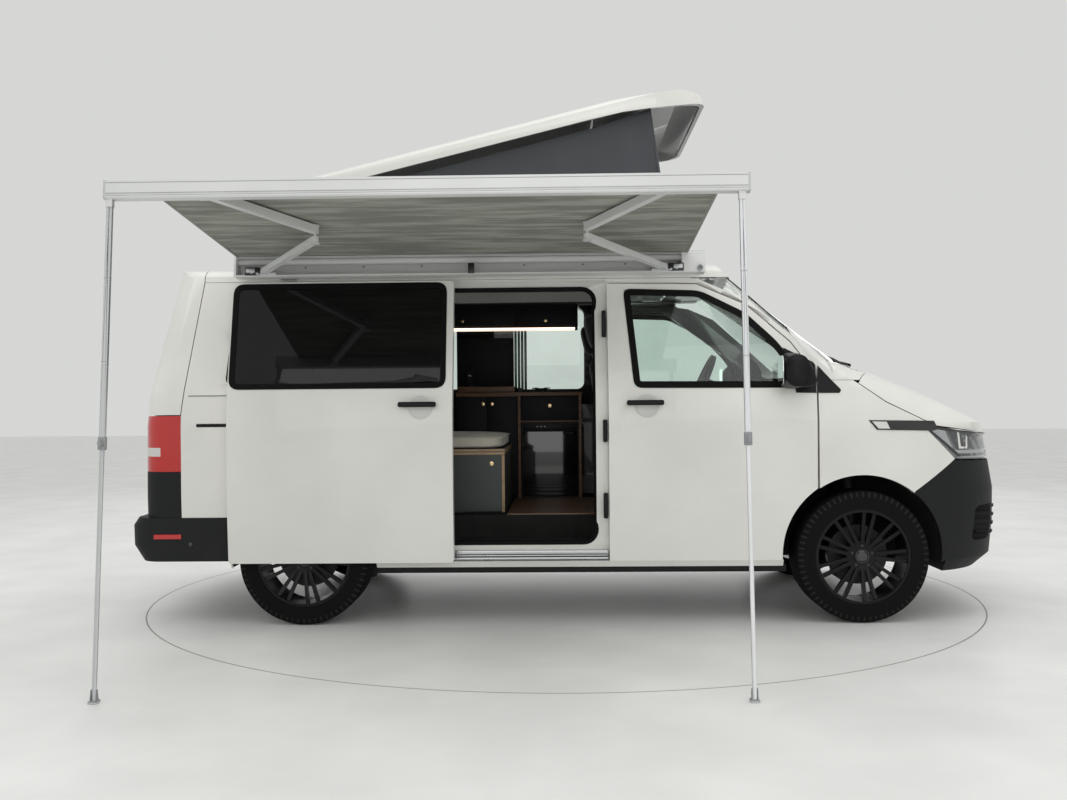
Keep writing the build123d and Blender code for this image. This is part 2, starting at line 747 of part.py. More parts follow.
with BuildPart() as tail_corners:
    add(skin)
    add(
        across_prism(
            (
                (TAIL_SHUT_BOTTOM - 0.5, TAILGATE_SILL + 1),
                (TAIL_SHUT_BOTTOM - 0.5, LAMP_TOP),
                (-2700, LAMP_TOP),
                (-2700, TAILGATE_SILL + 1),
            )
        ),
        mode=Mode.INTERSECT,
    )
    add(lift_prism(-2700, -1900, -TAILGATE_HALF, TAILGATE_HALF, 200, 1600), mode=Mode.SUBTRACT)

with BuildPart() as tail_lamps:
    add(tail_corners.part)
    add(lift_prism(-2700, -1900, -1200, 1200, LAMP_BOTTOM, LAMP_TOP + 10), mode=Mode.INTERSECT)

# bumper rows: height, tail on the centre line, half width
BUMPER_ROWS = (
    (345, -2440, BODY_HALF - 22),
    (430, -2490, BODY_HALF - 12),
    (540, -2490, BODY_HALF - 4),
    (TAILGATE_SILL, -2462, BODY_HALF - 6),
)
BUMPER_NOSE = 2200

with BuildPart() as rear_bumper:
    for z, tail, half in BUMPER_ROWS:
        with BuildSketch(Plane.XY.offset(z)):
            add(tub_outline(half, BUMPER_NOSE, tail))
    loft(ruled=True)
    add(inner, mode=Mode.SUBTRACT)
    add(lift_prism(-2700, -1900, -1200, 1200, 200, 700), mode=Mode.INTERSECT)
    add(lift_prism(-2340, -1800, -880, 880, 200, 700), mode=Mode.SUBTRACT)
    add(rear_arch, mode=Mode.SUBTRACT)
    add(wheel_tunnel(REAR_HUB, ARCH_RADIUS - 10, 600, BODY_HALF - 55), mode=Mode.SUBTRACT)
    with BuildPart(mode=Mode.PRIVATE) as pillars:
        add(tail_corners.part)
        add(lift_prism(-2700, -1900, -1200, 1200, 200, LAMP_BOTTOM - 1), mode=Mode.INTERSECT)
    add(pillars.part)
    # tow-ball socket in the middle of the beam
    with BuildSketch(Plane.YZ.offset(-2500)):
        with Locations((0, 390)):
            Rectangle(120, 60)
    extrude(amount=90, mode=Mode.SUBTRACT)

# ----------------------------------------------------------------------------- floor and chassis
RAIL_INNER = 380
RAIL_OUTER = 455
RAIL_LOW = 340
STEP_DEPTH = 640
STRUT_TOP = 830

with BuildPart() as chassis:
    add(lift_prism(-2330, 1151, -FLOOR_HALF, FLOOR_HALF, FLOOR_TOP - FLOOR_THICKNESS, FLOOR_TOP))
    add(inner, mode=Mode.INTERSECT)
    add(wheel_tunnel(FRONT_HUB, LINER_RADIUS + 8, 455, 1100), mode=Mode.SUBTRACT)
    add(wheel_tunnel(REAR_HUB, ARCH_RADIUS - 12, 632, 1100), mode=Mode.SUBTRACT)
    add(lift_prism(SLIDE_REAR + 105, B_PILLAR - 62, -1000, -STEP_DEPTH, 200, 700), mode=Mode.SUBTRACT)
    step = (SLIDE_REAR + 106, B_PILLAR - 63)
    add(lift_prism(*step, -FLOOR_HALF, -STEP_DEPTH + 1, FLOOR_TOP - 150, FLOOR_TOP - 130))
    for x in (SLIDE_REAR + 112, B_PILLAR - 72):
        add(lift_prism(x - 6, x + 3, -FLOOR_HALF, -STEP_DEPTH + 1, FLOOR_TOP - 150, FLOOR_TOP - 1))
    add(lift_prism(*step, -STEP_DEPTH - 10, -STEP_DEPTH + 1, FLOOR_TOP - 150, FLOOR_TOP))
    for side in SIDES.values():
        low, high = sorted((side * RAIL_INNER, side * RAIL_OUTER))
        add(lift_prism(-2330, 2250, low, high, RAIL_LOW, FLOOR_TOP - FLOOR_THICKNESS))
        low, high = sorted((side * RAIL_INNER, side * 705))
        add(lift_prism(1455, 1545, low, high, 182, 212))
        low, high = sorted((side * RAIL_INNER, side * RAIL_OUTER))
        add(lift_prism(1455, 1545, low, high, 182, STRUT_TOP + 24))
        low, high = sorted((side * RAIL_INNER, side * 670))
        add(lift_prism(1440, 1560, low, high, STRUT_TOP + 12, STRUT_TOP + 24))
    for x in (-2200, -1150, -300, 500, 2180):
        add(lift_prism(x - 40, x + 40, -RAIL_INNER, RAIL_INNER, RAIL_LOW + 20, FLOOR_TOP - FLOOR_THICKNESS))

with BuildPart() as engine_block:
    add(lift_prism(1260, 1900, -340, 340, 400, 1010))
    fillet(engine_block.edges().filter_by(Axis.Z), 40)

with BuildPart() as arch_liners:
    for x, radius, near in ((FRONT_HUB, LINER_RADIUS, 462), (REAR_HUB, ARCH_RADIUS - 20, 632)):
        for side in SIDES.values():
            flip = 1 if side < 0 else -1
            with BuildPart(mode=Mode.PRIVATE) as liner:
                with BuildSketch(side_plane(side).offset(near)):
                    with Locations((x, flip * ARCH_HEIGHT)):
                        Circle(radius + LINER_WALL)
                    with Locations((x, flip * 0)):
                        Rectangle(1200, 2 * SILL_HEIGHT, mode=Mode.SUBTRACT)
                extrude(amount=BODY_HALF - 90 - near)
                with BuildSketch(side_plane(side).offset(near + LINER_WALL)):
                    with Locations((x, flip * ARCH_HEIGHT)):
                        Circle(radius)
                    with Locations((x, flip * 0.5 * ARCH_HEIGHT)):
                        Rectangle(2 * radius, ARCH_HEIGHT)
                extrude(amount=BODY_HALF, mode=Mode.SUBTRACT)
                if x > 0:
                    low, high = sorted((side * (near - 5), side * 680))
                    add(lift_prism(1430, 1570, low, high, ARCH_HEIGHT + 300, 900), mode=Mode.SUBTRACT)
            add(liner.part)

# ----------------------------------------------------------------------------- wheels and suspension
SPOKE_FACE = 95
HUB_INNER = -70


def wheel_place(x, side):
    """Location of a wheel: its own Z axis points outward along the axle."""
    return Plane(origin=(x, side * HALF_TRACK, TYRE_RADIUS), x_dir=(1, 0, 0), z_dir=(0, side, 0)).location


with BuildPart() as tyre:
    with BuildSketch(Plane.XZ):
        with Locations((RIM_RADIUS + 0.3, 0)):
            band = Rectangle(TYRE_RADIUS - RIM_RADIUS - 0.3, TYRE_WIDTH, align=(Align.MIN, Align.CENTER))
        fillet([v for v in band.vertices() if v.X > RIM_RADIUS + 20], TYRE_SHOULDER)
    revolve(axis=Axis.Z)

with BuildPart() as rim:
    half = TYRE_WIDTH / 2 - 6
    with BuildSketch(Plane.XZ):
        with BuildLine():
            Polyline(
                (RIM_RADIUS - RIM_WALL, -half),
                (RIM_RADIUS, -half),
                (RIM_RADIUS, half),
                (RIM_RADIUS - RIM_LIP - 4, half),
                (RIM_RADIUS - RIM_LIP - 4, half - 10),
                (RIM_RADIUS - RIM_WALL, half - 26),
                close=True,
            )
        make_face()
    revolve(axis=Axis.Z)
    with BuildSketch(Plane.XZ):
        with BuildLine():
            Polyline(
                (0, 10),
                (AXLE_BORE, 10),
                (AXLE_BORE, HUB_INNER),
                (HUB_RADIUS, HUB_INNER),
                (HUB_RADIUS, -60),
                (160, -60),
                (160, -36),
                (HUB_RADIUS, -36),
                (HUB_RADIUS, SPOKE_FACE - SPOKE_THICKNESS),
                (HUB_RADIUS, SPOKE_FACE - 6),
                (CAP_RADIUS + 8, SPOKE_FACE - 12),
                (CAP_RADIUS, SPOKE_FACE - 8),
                (0, SPOKE_FACE - 8),
                close=True,
            )
        make_face()
    revolve(axis=Axis.Z)
    with BuildSketch(Plane.XY.offset(SPOKE_FACE - SPOKE_THICKNESS)):
        for turn in range(SPOKE_PAIRS):
            for lean in (-1, 1):
                spread = turn * 360 / SPOKE_PAIRS + lean * 5.6
                with PolarLocations(0, 1, start_angle=spread):
                    with Locations(((HUB_RADIUS + RIM_RADIUS) / 2 - 8, lean * 5)):
                        Rectangle(RIM_RADIUS - HUB_RADIUS + 8, SPOKE_WIDTH)
    extrude(amount=SPOKE_THICKNESS)

KING_FOOT = 225
KING_HEAD = 825
KING_SLOPE = tan(radians(STEER_LEAN))


def king_y(z):
    """Distance of the steering axis from the centre line, at the height z."""
    return STEER_FOOT - (z - 200) * KING_SLOPE


def along_y(x, z, radius, near, far, side):
    """Round bar across the van on one side."""
    with BuildPart() as bar:
        with BuildSketch(side_plane(side).offset(near)):
            with Locations((x, z if side < 0 else -z)):
                Circle(radius)
        extrude(amount=far - near)
    return bar.part


def knuckle(side):
    """Steered strut: a leaning rod, the upright and the stub axle."""
    lean = Plane(
        origin=(FRONT_HUB, side * king_y(KING_FOOT), KING_FOOT),
        x_dir=(1, 0, 0),
        z_dir=(0, -side * sin(radians(STEER_LEAN)), cos(radians(STEER_LEAN))),
    )
    rod = (KING_HEAD - KING_FOOT) / cos(radians(STEER_LEAN))
    with BuildPart() as strut:
        with BuildSketch(lean):
            Circle(18)
        extrude(amount=rod - 380)
        with BuildSketch(lean.offset(rod - 381)):
            Circle(28)
        extrude(amount=381)
        add(along_y(FRONT_HUB, TYRE_RADIUS, 60, 688, 738, side))
        add(along_y(FRONT_HUB, TYRE_RADIUS, AXLE_BORE - AXLE_CLEARANCE, 730, 822, side))
    return strut.part


with BuildPart() as rear_axle:
    with BuildSketch(Plane.XZ.offset(-670)):
        with Locations((-1180, 255)):
            Circle(38)
    extrude(amount=1340)
    for side in SIDES.values():
        arm = ((-1140, 290), (-1150, 220), (-1500, 300), (-1545, 352), (-1500, 404))
        add(side_prism(arm, side, 645, 684))
        add(along_y(REAR_HUB, TYRE_RADIUS, 60, 683, 738, side))
        add(along_y(REAR_HUB, TYRE_RADIUS, AXLE_BORE - AXLE_CLEARANCE, 730, 822, side))
        low, high = sorted((side * 390, side * 445))
        add(lift_prism(-1210, -1150, low, high, 255, RAIL_LOW))

# ----------------------------------------------------------------------------- pop-top roof
SWING = radians(LIFT_SWING)
TILT = radians(POPTOP_TILT)
LIFT_HEAD_X = LIFT_BASE_X - LIFT_ARM * cos(SWING)
LIFT_HEAD_Z = LIFT_BASE_Z + LIFT_ARM * sin(SWING)
PIN_RADIUS = 8
LUG = 35
LUG_SIDES = ((-21, -9), (9, 21))

# side profile of the shell as u, w points from the shell's pivot
SHELL_TOP = ((-300, -20), (-300, 24), (-190, 66), (700, 84), (1700, 76), (2230, 20), (2360, -40), (2360, -85))
SHELL_EDGE = ((2250, -72), (2080, -44), (1900, -24), (1700, -20))


def shell_plane(y):
    """Plane of the shell's side profile at a distance from the centre line; its normal points right."""
    return Plane(
        origin=(LIFT_HEAD_X, y, LIFT_HEAD_Z), x_dir=(cos(TILT), 0, sin(TILT)), z_dir=(0, -1, 0)
    )


def shell_volume(inset):
    """Closed volume of the pop-top shell, set in by the distance given and open below."""
    with BuildPart() as volume:
        with BuildSketch(shell_plane(POPTOP_HALF - inset)):
            with BuildLine():
                low = -120 if inset else 0
                top = [(u, w - inset) for u, w in SHELL_TOP[1:-1]]
                rear = (SHELL_TOP[0][0] + inset, low + SHELL_TOP[0][1])
                front = (SHELL_TOP[-1][0] - inset, low + SHELL_TOP[-1][1])
                top[0] = (rear[0], top[0][1])
                top[-1] = (front[0], top[-1][1])
                edge = [(u, w + low) for u, w in SHELL_EDGE]
                Polyline(rear, *top, front, *edge, close=True)
            make_face()
        extrude(amount=2 * (POPTOP_HALF - inset))
        # rounded plan
        middle = shell_plane(0)
        with BuildSketch(Plane(middle.origin, x_dir=middle.x_dir, z_dir=(-sin(TILT), 0, cos(TILT)))):
            with Locations(((SHELL_TOP[0][0] + SHELL_TOP[-1][0]) / 2, 0)):
                RectangleRounded(POPTOP_LENGTH - 2 * inset, 2 * (POPTOP_HALF - inset), 110)
        extrude(amount=400, both=True, mode=Mode.INTERSECT)
        # crown, seen along the shell
        with BuildSketch(
            Plane(shell_plane(0).origin, x_dir=(0, 1, 0), z_dir=(cos(TILT), 0, sin(TILT))).offset(-500)
        ):
            with BuildLine():
                side = POPTOP_HALF + 5 - inset
                knee = POPTOP_HALF - 45
                ThreePointArc((-knee, 64 - inset), (0, POPTOP_HEIGHT - inset), (knee, 64 - inset))
                ThreePointArc((knee, 64 - inset), (knee + 36, 46 - inset), (side, -10 - inset))
                Polyline((side, -10 - inset), (side, -400), (-side, -400), (-side, -10 - inset))
                ThreePointArc((-side, -10 - inset), (-knee - 36, 46 - inset), (-knee, 64 - inset))
            make_face()
        extrude(amount=4000, mode=Mode.INTERSECT)
    return volume.part


with BuildPart() as pop_top_shell:
    add(shell_volume(0))
    add(shell_volume(POPTOP_SKIN), mode=Mode.SUBTRACT)
    for side in SIDES.values():
        for low, high in LUG_SIDES:
            near = side * LIFT_HALF + high
            with BuildSketch(shell_plane(near)):
                with Locations((0, 19)):
                    Rectangle(2 * LUG, 82)
            extrude(amount=high - low)
        with BuildSketch(shell_plane(side * LIFT_HALF + 20)):
            Circle(PIN_RADIUS)
        extrude(amount=40)

with BuildPart() as lift_arms:
    link = Plane(
        origin=((LIFT_BASE_X + LIFT_HEAD_X) / 2, 0, (LIFT_BASE_Z + LIFT_HEAD_Z) / 2),
        x_dir=(-cos(SWING), 0, sin(SWING)),
        z_dir=(0, -1, 0),
    )
    for side in SIDES.values():
        with BuildSketch(link.offset(-side * LIFT_HALF - 6)):
            SlotCenterToCenter(LIFT_ARM, 34)
            with Locations((-LIFT_ARM / 2, 0), (LIFT_ARM / 2, 0)):
                Circle(PIN_RADIUS + AXLE_CLEARANCE, mode=Mode.SUBTRACT)
        extrude(amount=12)
    # torsion bar between the two arms
    with BuildSketch(link.offset(-LIFT_HALF + 2)):
        Circle(10)
    extrude(amount=2 * LIFT_HALF - 4)

with BuildPart(mode=Mode.PRIVATE) as roof_lugs:
    for side in SIDES.values():
        for low, high in LUG_SIDES:
            near, far = sorted((side * LIFT_HALF + low, side * LIFT_HALF + high))
            add(
                lift_prism(
                    LIFT_BASE_X - LUG, LIFT_BASE_X + LUG, near, far, ROOF_FRAME_TOP - 20, LIFT_BASE_Z + 22
                )
            )
        with BuildSketch(Plane.XZ.offset(-side * LIFT_HALF - 20)):
            with Locations((LIFT_BASE_X, LIFT_BASE_Z)):
                Circle(PIN_RADIUS)
        extrude(amount=40)


def shell_z(x, w):
    """Height of the shell's level w above the point x, with the roof raised."""
    u = (x - LIFT_HEAD_X + w * sin(TILT)) / cos(TILT)
    return LIFT_HEAD_Z + u * sin(TILT) + w * cos(TILT)


with BuildPart() as canvas:
    for reach, inside in ((0, False), (CANVAS_WALL, True)):
        rear_foot = -1800 + reach
        front_foot = 545 - reach
        over = 60 if inside else 0
        outline = (
            (rear_foot, ROOF_FRAME_TOP + 1 - over),
            (front_foot + 0.15 * over, ROOF_FRAME_TOP + 1 - over),
            (418 - reach, shell_z(418, -14) + over),
            (rear_foot + 24, shell_z(rear_foot + 24, -4) + over),
        )
        add(
            across_prism(outline, CANVAS_HALF - reach),
            mode=Mode.SUBTRACT if inside else Mode.ADD,
        )

# ----------------------------------------------------------------------------- awning
PITCH = radians(AWNING_PITCH)
AWNING = Plane(origin=(0, AWNING_Y, AWNING_Z), x_dir=(1, 0, 0), z_dir=(0, sin(PITCH), cos(PITCH)))
REACH = UPPER_ARM * sin(radians(UPPER_ANGLE)) + FOREARM * sin(radians(FORE_ANGLE))
ELBOW_X = UPPER_ARM * cos(radians(UPPER_ANGLE))
ELBOW_Y = -UPPER_ARM * sin(radians(UPPER_ANGLE))
WRIST_X = ELBOW_X - FOREARM * cos(radians(FORE_ANGLE))
ENDS = {"rear": -1, "front": 1}
BAR_NEAR = -REACH - WRIST_OFFSET
BAR_FAR = BAR_NEAR - BAR_DEPTH
LEG_Y = (BAR_NEAR + BAR_FAR) / 2
LEG_PIVOT_Z = -BAR_DROP - LEG_PIVOT
PIVOT_PIN = 7
PIVOT_BORE = PIVOT_PIN + AXLE_CLEARANCE
WRIST_PLAY = 3


def shoulder_x(end):
    """X of an arm's shoulder pivot."""
    return SHOULDER_MIDDLE + end * SHOULDER_SPREAD


def awning_block(x_low, x_high, y_low, y_high, z_low, z_high):
    """Block between the corners given, in the awning's own frame."""
    with BuildPart() as block:
        with BuildSketch(AWNING.offset(z_low)):
            with Locations(((x_low + x_high) / 2, (y_low + y_high) / 2)):
                Rectangle(x_high - x_low, y_high - y_low)
        extrude(amount=z_high - z_low)
    return block.part


def awning_pin(x, y, z_low, z_high, radius):
    """Round pin along the awning's own vertical."""
    with BuildPart() as pin:
        with BuildSketch(AWNING.offset(z_low)):
            with Locations((x, y)):
                Circle(radius)
        extrude(amount=z_high - z_low)
    return pin.part


def awning_rod(x_low, x_high, y, z, radius):
    """Round rod along the awning."""
    rod_plane = Plane(
        origin=AWNING.from_local_coords((x_low, y, z)), x_dir=(0, cos(PITCH), -sin(PITCH)), z_dir=(1, 0, 0)
    )
    with BuildPart() as rod:
        with BuildSketch(rod_plane):
            Circle(radius)
        extrude(amount=x_high - x_low)
    return rod.part


def arm_link(start, finish, z_low, z_high, bores):
    """Flat arm between two points of the awning's plane, with round ends and a bore at each point given."""
    run = (finish[0] - start[0], finish[1] - start[1])
    middle = ((start[0] + finish[0]) / 2, (start[1] + finish[1]) / 2)
    with BuildPart() as link:
        with BuildSketch(AWNING.offset(z_low)):
            with Locations(middle):
                SlotCenterToCenter(hypot(*run), ARM_WIDTH, rotation=degrees(atan2(run[1], run[0])))
            for centre, radius in bores:
                with Locations(centre):
                    Circle(radius, mode=Mode.SUBTRACT)
        extrude(amount=z_high - z_low)
    return link.part


CASE_REAR = CASE_MIDDLE - CASE_LENGTH / 2
CASE_FRONT = CASE_MIDDLE + CASE_LENGTH / 2
CASE_BACK = 70
CASE_LOW = -52
CASE_HIGH = CASE_LOW + CASE_HEIGHT
UPPER_LOW = -40
# the upper arm is the shallower one, so that the lead bar's wrist brackets fold in over it
UPPER_HIGH = UPPER_LOW + ARM_HEIGHT - 8
FORE_LOW = UPPER_LOW + ARM_HEIGHT + ARM_GAP + 2
FORE_HIGH = FORE_LOW + ARM_HEIGHT + 2

with BuildPart() as awning_case:
    add(awning_block(CASE_REAR, CASE_FRONT, CASE_BACK - CASE_WALL, CASE_BACK, CASE_LOW, CASE_HIGH))
    add(awning_block(CASE_REAR, CASE_FRONT, -20, CASE_BACK, CASE_HIGH - CASE_WALL, CASE_HIGH))
    add(awning_block(CASE_REAR, CASE_FRONT, -20, CASE_BACK, CASE_LOW, CASE_LOW + CASE_WALL))
    add(awning_block(CASE_FRONT - END_CAP, CASE_FRONT, -20, CASE_BACK, CASE_LOW, CASE_HIGH))
    add(awning_block(CASE_REAR, CASE_REAR + 12, -20, CASE_BACK, CASE_LOW, CASE_HIGH))
    add(awning_rod(CASE_REAR + 10, CASE_FRONT - 20, 42, 36, 18))
    for end in ENDS.values():
        at = shoulder_x(end)
        # shoulder fork: a pin that stands on the bottom plate inside a back block
        add(awning_pin(at, 0, CASE_LOW + 1, UPPER_HIGH + 4, PIVOT_PIN))
        add(awning_block(at - 40, at + 40, 26, CASE_BACK - 1, CASE_LOW + 1, -2))
    for at in (-1600, -600, 400):
        with BuildPart(mode=Mode.PRIVATE) as bracket:
            add(awning_block(at - 45, at + 45, CASE_BACK - 2, CASE_BACK + 62, CASE_LOW + 4, CASE_LOW + 30))
            add(outer, mode=Mode.SUBTRACT)
        add(bracket.part)

upper_arms = {}
forearms = {}
for name, end in ENDS.items():
    shoulder = (shoulder_x(end), 0)
    elbow = (shoulder[0] - end * ELBOW_X, ELBOW_Y)
    wrist = (shoulder[0] - end * WRIST_X, -REACH)
    with BuildPart() as upper_arm:
        add(arm_link(shoulder, elbow, UPPER_LOW, UPPER_HIGH, ((shoulder, PIVOT_BORE),)))
        add(awning_pin(*elbow, UPPER_HIGH - 4, FORE_HIGH + 3, PIVOT_PIN))
    with BuildPart() as forearm:
        # the front wrist is the linkage's open pivot, so its bore leaves the pin room to wander
        wrist_bore = PIVOT_BORE + (WRIST_PLAY if name == "front" else 0)
        add(arm_link(elbow, wrist, FORE_LOW, FORE_HIGH, ((elbow, PIVOT_BORE), (wrist, wrist_bore))))
    upper_arms[name] = upper_arm
    forearms[name] = forearm

with BuildPart() as lead_bar:
    bar_ends = (BAR_MIDDLE - BAR_LENGTH / 2, BAR_MIDDLE + BAR_LENGTH / 2)
    add(awning_block(*bar_ends, BAR_FAR, BAR_NEAR, -BAR_DROP, BAR_HEIGHT - BAR_DROP))
    fillet(lead_bar.edges().filter_by(Axis.X).group_by(Axis.Y)[0], 8)
    for end in ENDS.values():
        at = shoulder_x(end) - end * WRIST_X
        for low, high in ((FORE_LOW - 10, FORE_LOW - 4), (FORE_HIGH + 4, FORE_HIGH + 9)):
            add(awning_block(at - 22, at + 22, BAR_NEAR - 2, -REACH + 14, low, high))
        add(awning_pin(at, -REACH, FORE_LOW - 8, FORE_HIGH + 6, PIVOT_PIN))
        leg_x = LEG_MIDDLE + end * LEG_SPREAD
        for low, high in ((-LEG_DEPTH / 2 - 5, -LEG_DEPTH / 2 - 1), (LEG_DEPTH / 2 + 1, LEG_DEPTH / 2 + 5)):
            add(
                awning_block(
                    leg_x - 14, leg_x + 14, LEG_Y + low, LEG_Y + high, LEG_PIVOT_Z - 12, -BAR_DROP + 4
                )
            )
        leg_plane = Plane(
            origin=AWNING.from_local_coords((leg_x, LEG_Y, LEG_PIVOT_Z)),
            x_dir=(1, 0, 0),
            z_dir=(0, -cos(PITCH), sin(PITCH)),
        )
        with BuildSketch(leg_plane):
            Circle(4)
        extrude(amount=LEG_DEPTH / 2 + 3, both=True)

LEG_HEAD = LEG_PIVOT_Z - 14
LEG_LOW = LEG_PIVOT_Z - LEG_UPPER
INNER_WIDTH = LEG_WIDTH - 2 * LEG_WALL - 2 * LEG_CLEARANCE
INNER_DEPTH = LEG_DEPTH - 2 * LEG_WALL - 2 * LEG_CLEARANCE
legs = {}
leg_feet = {}
for name, end in ENDS.items():
    leg_x = LEG_MIDDLE + end * LEG_SPREAD
    half_width = LEG_WIDTH / 2
    half_depth = LEG_DEPTH / 2
    leg_plane = Plane(
        origin=AWNING.from_local_coords((leg_x, LEG_Y, LEG_PIVOT_Z)),
        x_dir=(1, 0, 0),
        z_dir=(0, -cos(PITCH), sin(PITCH)),
    )
    with BuildPart() as leg:
        sides = (leg_x - half_width, leg_x + half_width, LEG_Y - half_depth, LEG_Y + half_depth)
        add(awning_block(*sides, LEG_LOW, LEG_PIVOT_Z))
        with BuildSketch(leg_plane):
            Circle(half_width)
        extrude(amount=half_depth, both=True)
        hollow = (
            leg_x - half_width + LEG_WALL,
            leg_x + half_width - LEG_WALL,
            LEG_Y - half_depth + LEG_WALL,
            LEG_Y + half_depth - LEG_WALL,
        )
        add(awning_block(*hollow, LEG_LOW - 10, LEG_HEAD), mode=Mode.SUBTRACT)
        with BuildSketch(leg_plane):
            Circle(4 + AXLE_CLEARANCE)
        extrude(amount=LEG_DEPTH, both=True, mode=Mode.SUBTRACT)
    with BuildPart() as leg_foot:
        inner_sides = (
            leg_x - INNER_WIDTH / 2,
            leg_x + INNER_WIDTH / 2,
            LEG_Y - INNER_DEPTH / 2,
            LEG_Y + INNER_DEPTH / 2,
        )
        add(awning_block(*inner_sides, LEG_LOW - 1120, LEG_LOW + LEG_OVERLAP))
        add(lift_prism(-4000, 4000, -4000, 4000, -200, 2), mode=Mode.SUBTRACT)
        ground = AWNING.from_local_coords((leg_x, LEG_Y, 0))
        foot_y = ground.Y - ground.Z * tan(PITCH)
        add(lift_prism(leg_x - 18, leg_x + 18, foot_y - 22, foot_y + 22, 0, 6))
    legs[name] = leg
    leg_feet[name] = leg_foot

FABRIC_LOW = FORE_HIGH + 11
with BuildPart() as awning_fabric:
    add(
        awning_block(
            FABRIC_MIDDLE - FABRIC_WIDTH / 2,
            FABRIC_MIDDLE + FABRIC_WIDTH / 2,
            BAR_NEAR + 1,
            -20.5,
            FABRIC_LOW,
            FABRIC_LOW + FABRIC_THICKNESS,
        )
    )

# ----------------------------------------------------------------------------- fittings inside
KITCHEN_REAR = -800
KITCHEN_FRONT = 31
KITCHEN_SPLIT = -381
KITCHEN_BACK = 828

with BuildPart() as kitchen_unit:
    carcass_top = COUNTER_TOP - COUNTER_BOARD
    add(lift_prism(KITCHEN_REAR, KITCHEN_FRONT, KITCHEN_FACE + 12, KITCHEN_BACK, FLOOR_TOP, carcass_top))
    bays = (
        # x low, x high, z low, z high: open to the back
        (KITCHEN_REAR + PLY, KITCHEN_SPLIT - PLY / 2, FLOOR_TOP + PLY, COUNTER_TOP - COUNTER_BOARD - 60),
        (KITCHEN_SPLIT + PLY / 2, KITCHEN_FRONT - PLY, FLOOR_TOP + PLY, 1060),
    )
    for x_low, x_high, z_low, z_high in bays:
        add(
            lift_prism(x_low, x_high, KITCHEN_FACE + 12 + PLY, KITCHEN_BACK + 10, z_low, z_high),
            mode=Mode.SUBTRACT,
        )
    fronts = (
        # x low, x high, z low, z high
        (KITCHEN_SPLIT + PLY, KITCHEN_FRONT - PLY - 3, FLOOR_TOP + 4, 1066),
        (KITCHEN_SPLIT + PLY, KITCHEN_FRONT - PLY - 3, 1072, COUNTER_TOP - COUNTER_BOARD - 4),
        (KITCHEN_REAR + 3, -593, FLOOR_TOP + 60, COUNTER_TOP - COUNTER_BOARD - 4),
        (-589, KITCHEN_SPLIT - PLY, FLOOR_TOP + 60, COUNTER_TOP - COUNTER_BOARD - 4),
    )
    for x_low, x_high, z_low, z_high in fronts:
        add(lift_prism(x_low, x_high, KITCHEN_FACE, KITCHEN_FACE + 14, z_low, z_high))
    for x in (KITCHEN_SPLIT, KITCHEN_FRONT - PLY / 2):
        near, far = KITCHEN_FACE - 4, KITCHEN_FACE + 20
        add(lift_prism(x - PLY / 2, x + PLY / 2, near, far, FLOOR_TOP, COUNTER_TOP - 1))
    add(
        lift_prism(
            KITCHEN_REAR - 6,
            KITCHEN_FRONT + 6,
            KITCHEN_FACE - 8,
            KITCHEN_BACK,
            COUNTER_TOP - COUNTER_BOARD,
            COUNTER_TOP,
        )
    )
    # hob with two burners, then the tap
    add(lift_prism(-540, -130, 500, 700, COUNTER_TOP - 1, COUNTER_TOP + 8))
    for x in (-430, -236):
        with BuildSketch(Plane.XY.offset(COUNTER_TOP + 7)):
            with Locations((x, 590)):
                Circle(45)
        extrude(amount=22)
    with BuildSketch(Plane.XY.offset(COUNTER_TOP - 1)):
        with Locations((-714, 600)):
            Circle(14)
    extrude(amount=142)
    add(lift_prism(-724, -704, 470, 606, 1385, 1404))

with BuildPart() as overhead_locker:
    with BuildSketch(Plane.YZ.offset(-1240)):
        with BuildLine():
            Polyline(
                (LOCKER_FACE, LOCKER_BOTTOM),
                (714, LOCKER_BOTTOM),
                (700, 1780),
                (690, 1834),
                (558, 1834),
                (558, LOCKER_TOP),
                (LOCKER_FACE, LOCKER_TOP),
                close=True,
            )
        make_face()
    extrude(amount=1255)
    with BuildSketch(Plane.XY.offset(LOCKER_BOTTOM - 26)):
        with Locations((-612, 555)):
            Rectangle(1250, 30)
    extrude(amount=30)

with BuildPart() as bench:
    add(lift_prism(BENCH_FRONT - BENCH_LENGTH, BENCH_FRONT, -500, 400, FLOOR_TOP, BENCH_TOP))
    add(
        lift_prism(
            BENCH_FRONT - BENCH_LENGTH + PLY,
            BENCH_FRONT - PLY,
            -470,
            400 - PLY,
            FLOOR_TOP - 10,
            BENCH_TOP - PLY,
        ),
        mode=Mode.SUBTRACT,
    )

with BuildPart() as bench_cushion:
    add(
        lift_prism(
            BENCH_FRONT - BENCH_LENGTH + 2,
            BENCH_FRONT - 4,
            -498,
            398,
            BENCH_TOP + 0.3,
            BENCH_TOP + 0.3 + CUSHION_THICKNESS,
        )
    )
    fillet(bench_cushion.edges().group_by(Axis.Z)[-1], 22)

with BuildPart() as front_seats:
    for side in SIDES.values():
        low, high = side * SEAT_OFFSET - SEAT_WIDTH / 2, side * SEAT_OFFSET + SEAT_WIDTH / 2
        add(lift_prism(340, 800, low + 60, high - 60, FLOOR_TOP, 760))
        with BuildSketch(Plane.XZ.offset(-high)):
            with BuildLine():
                Polyline(
                    (300, 750),
                    (850, 790),
                    (860, 930),
                    (400, 905),
                    (330, 950),
                    (190, 1480),
                    (70, 1460),
                    (210, 850),
                    close=True,
                )
            make_face()
        extrude(amount=SEAT_WIDTH)
        add(lift_prism(86, 168, side * SEAT_OFFSET - 120, side * SEAT_OFFSET + 120, 1450, 1500))
        add(lift_prism(40, 150, side * SEAT_OFFSET - 140, side * SEAT_OFFSET + 140, 1495, 1710))

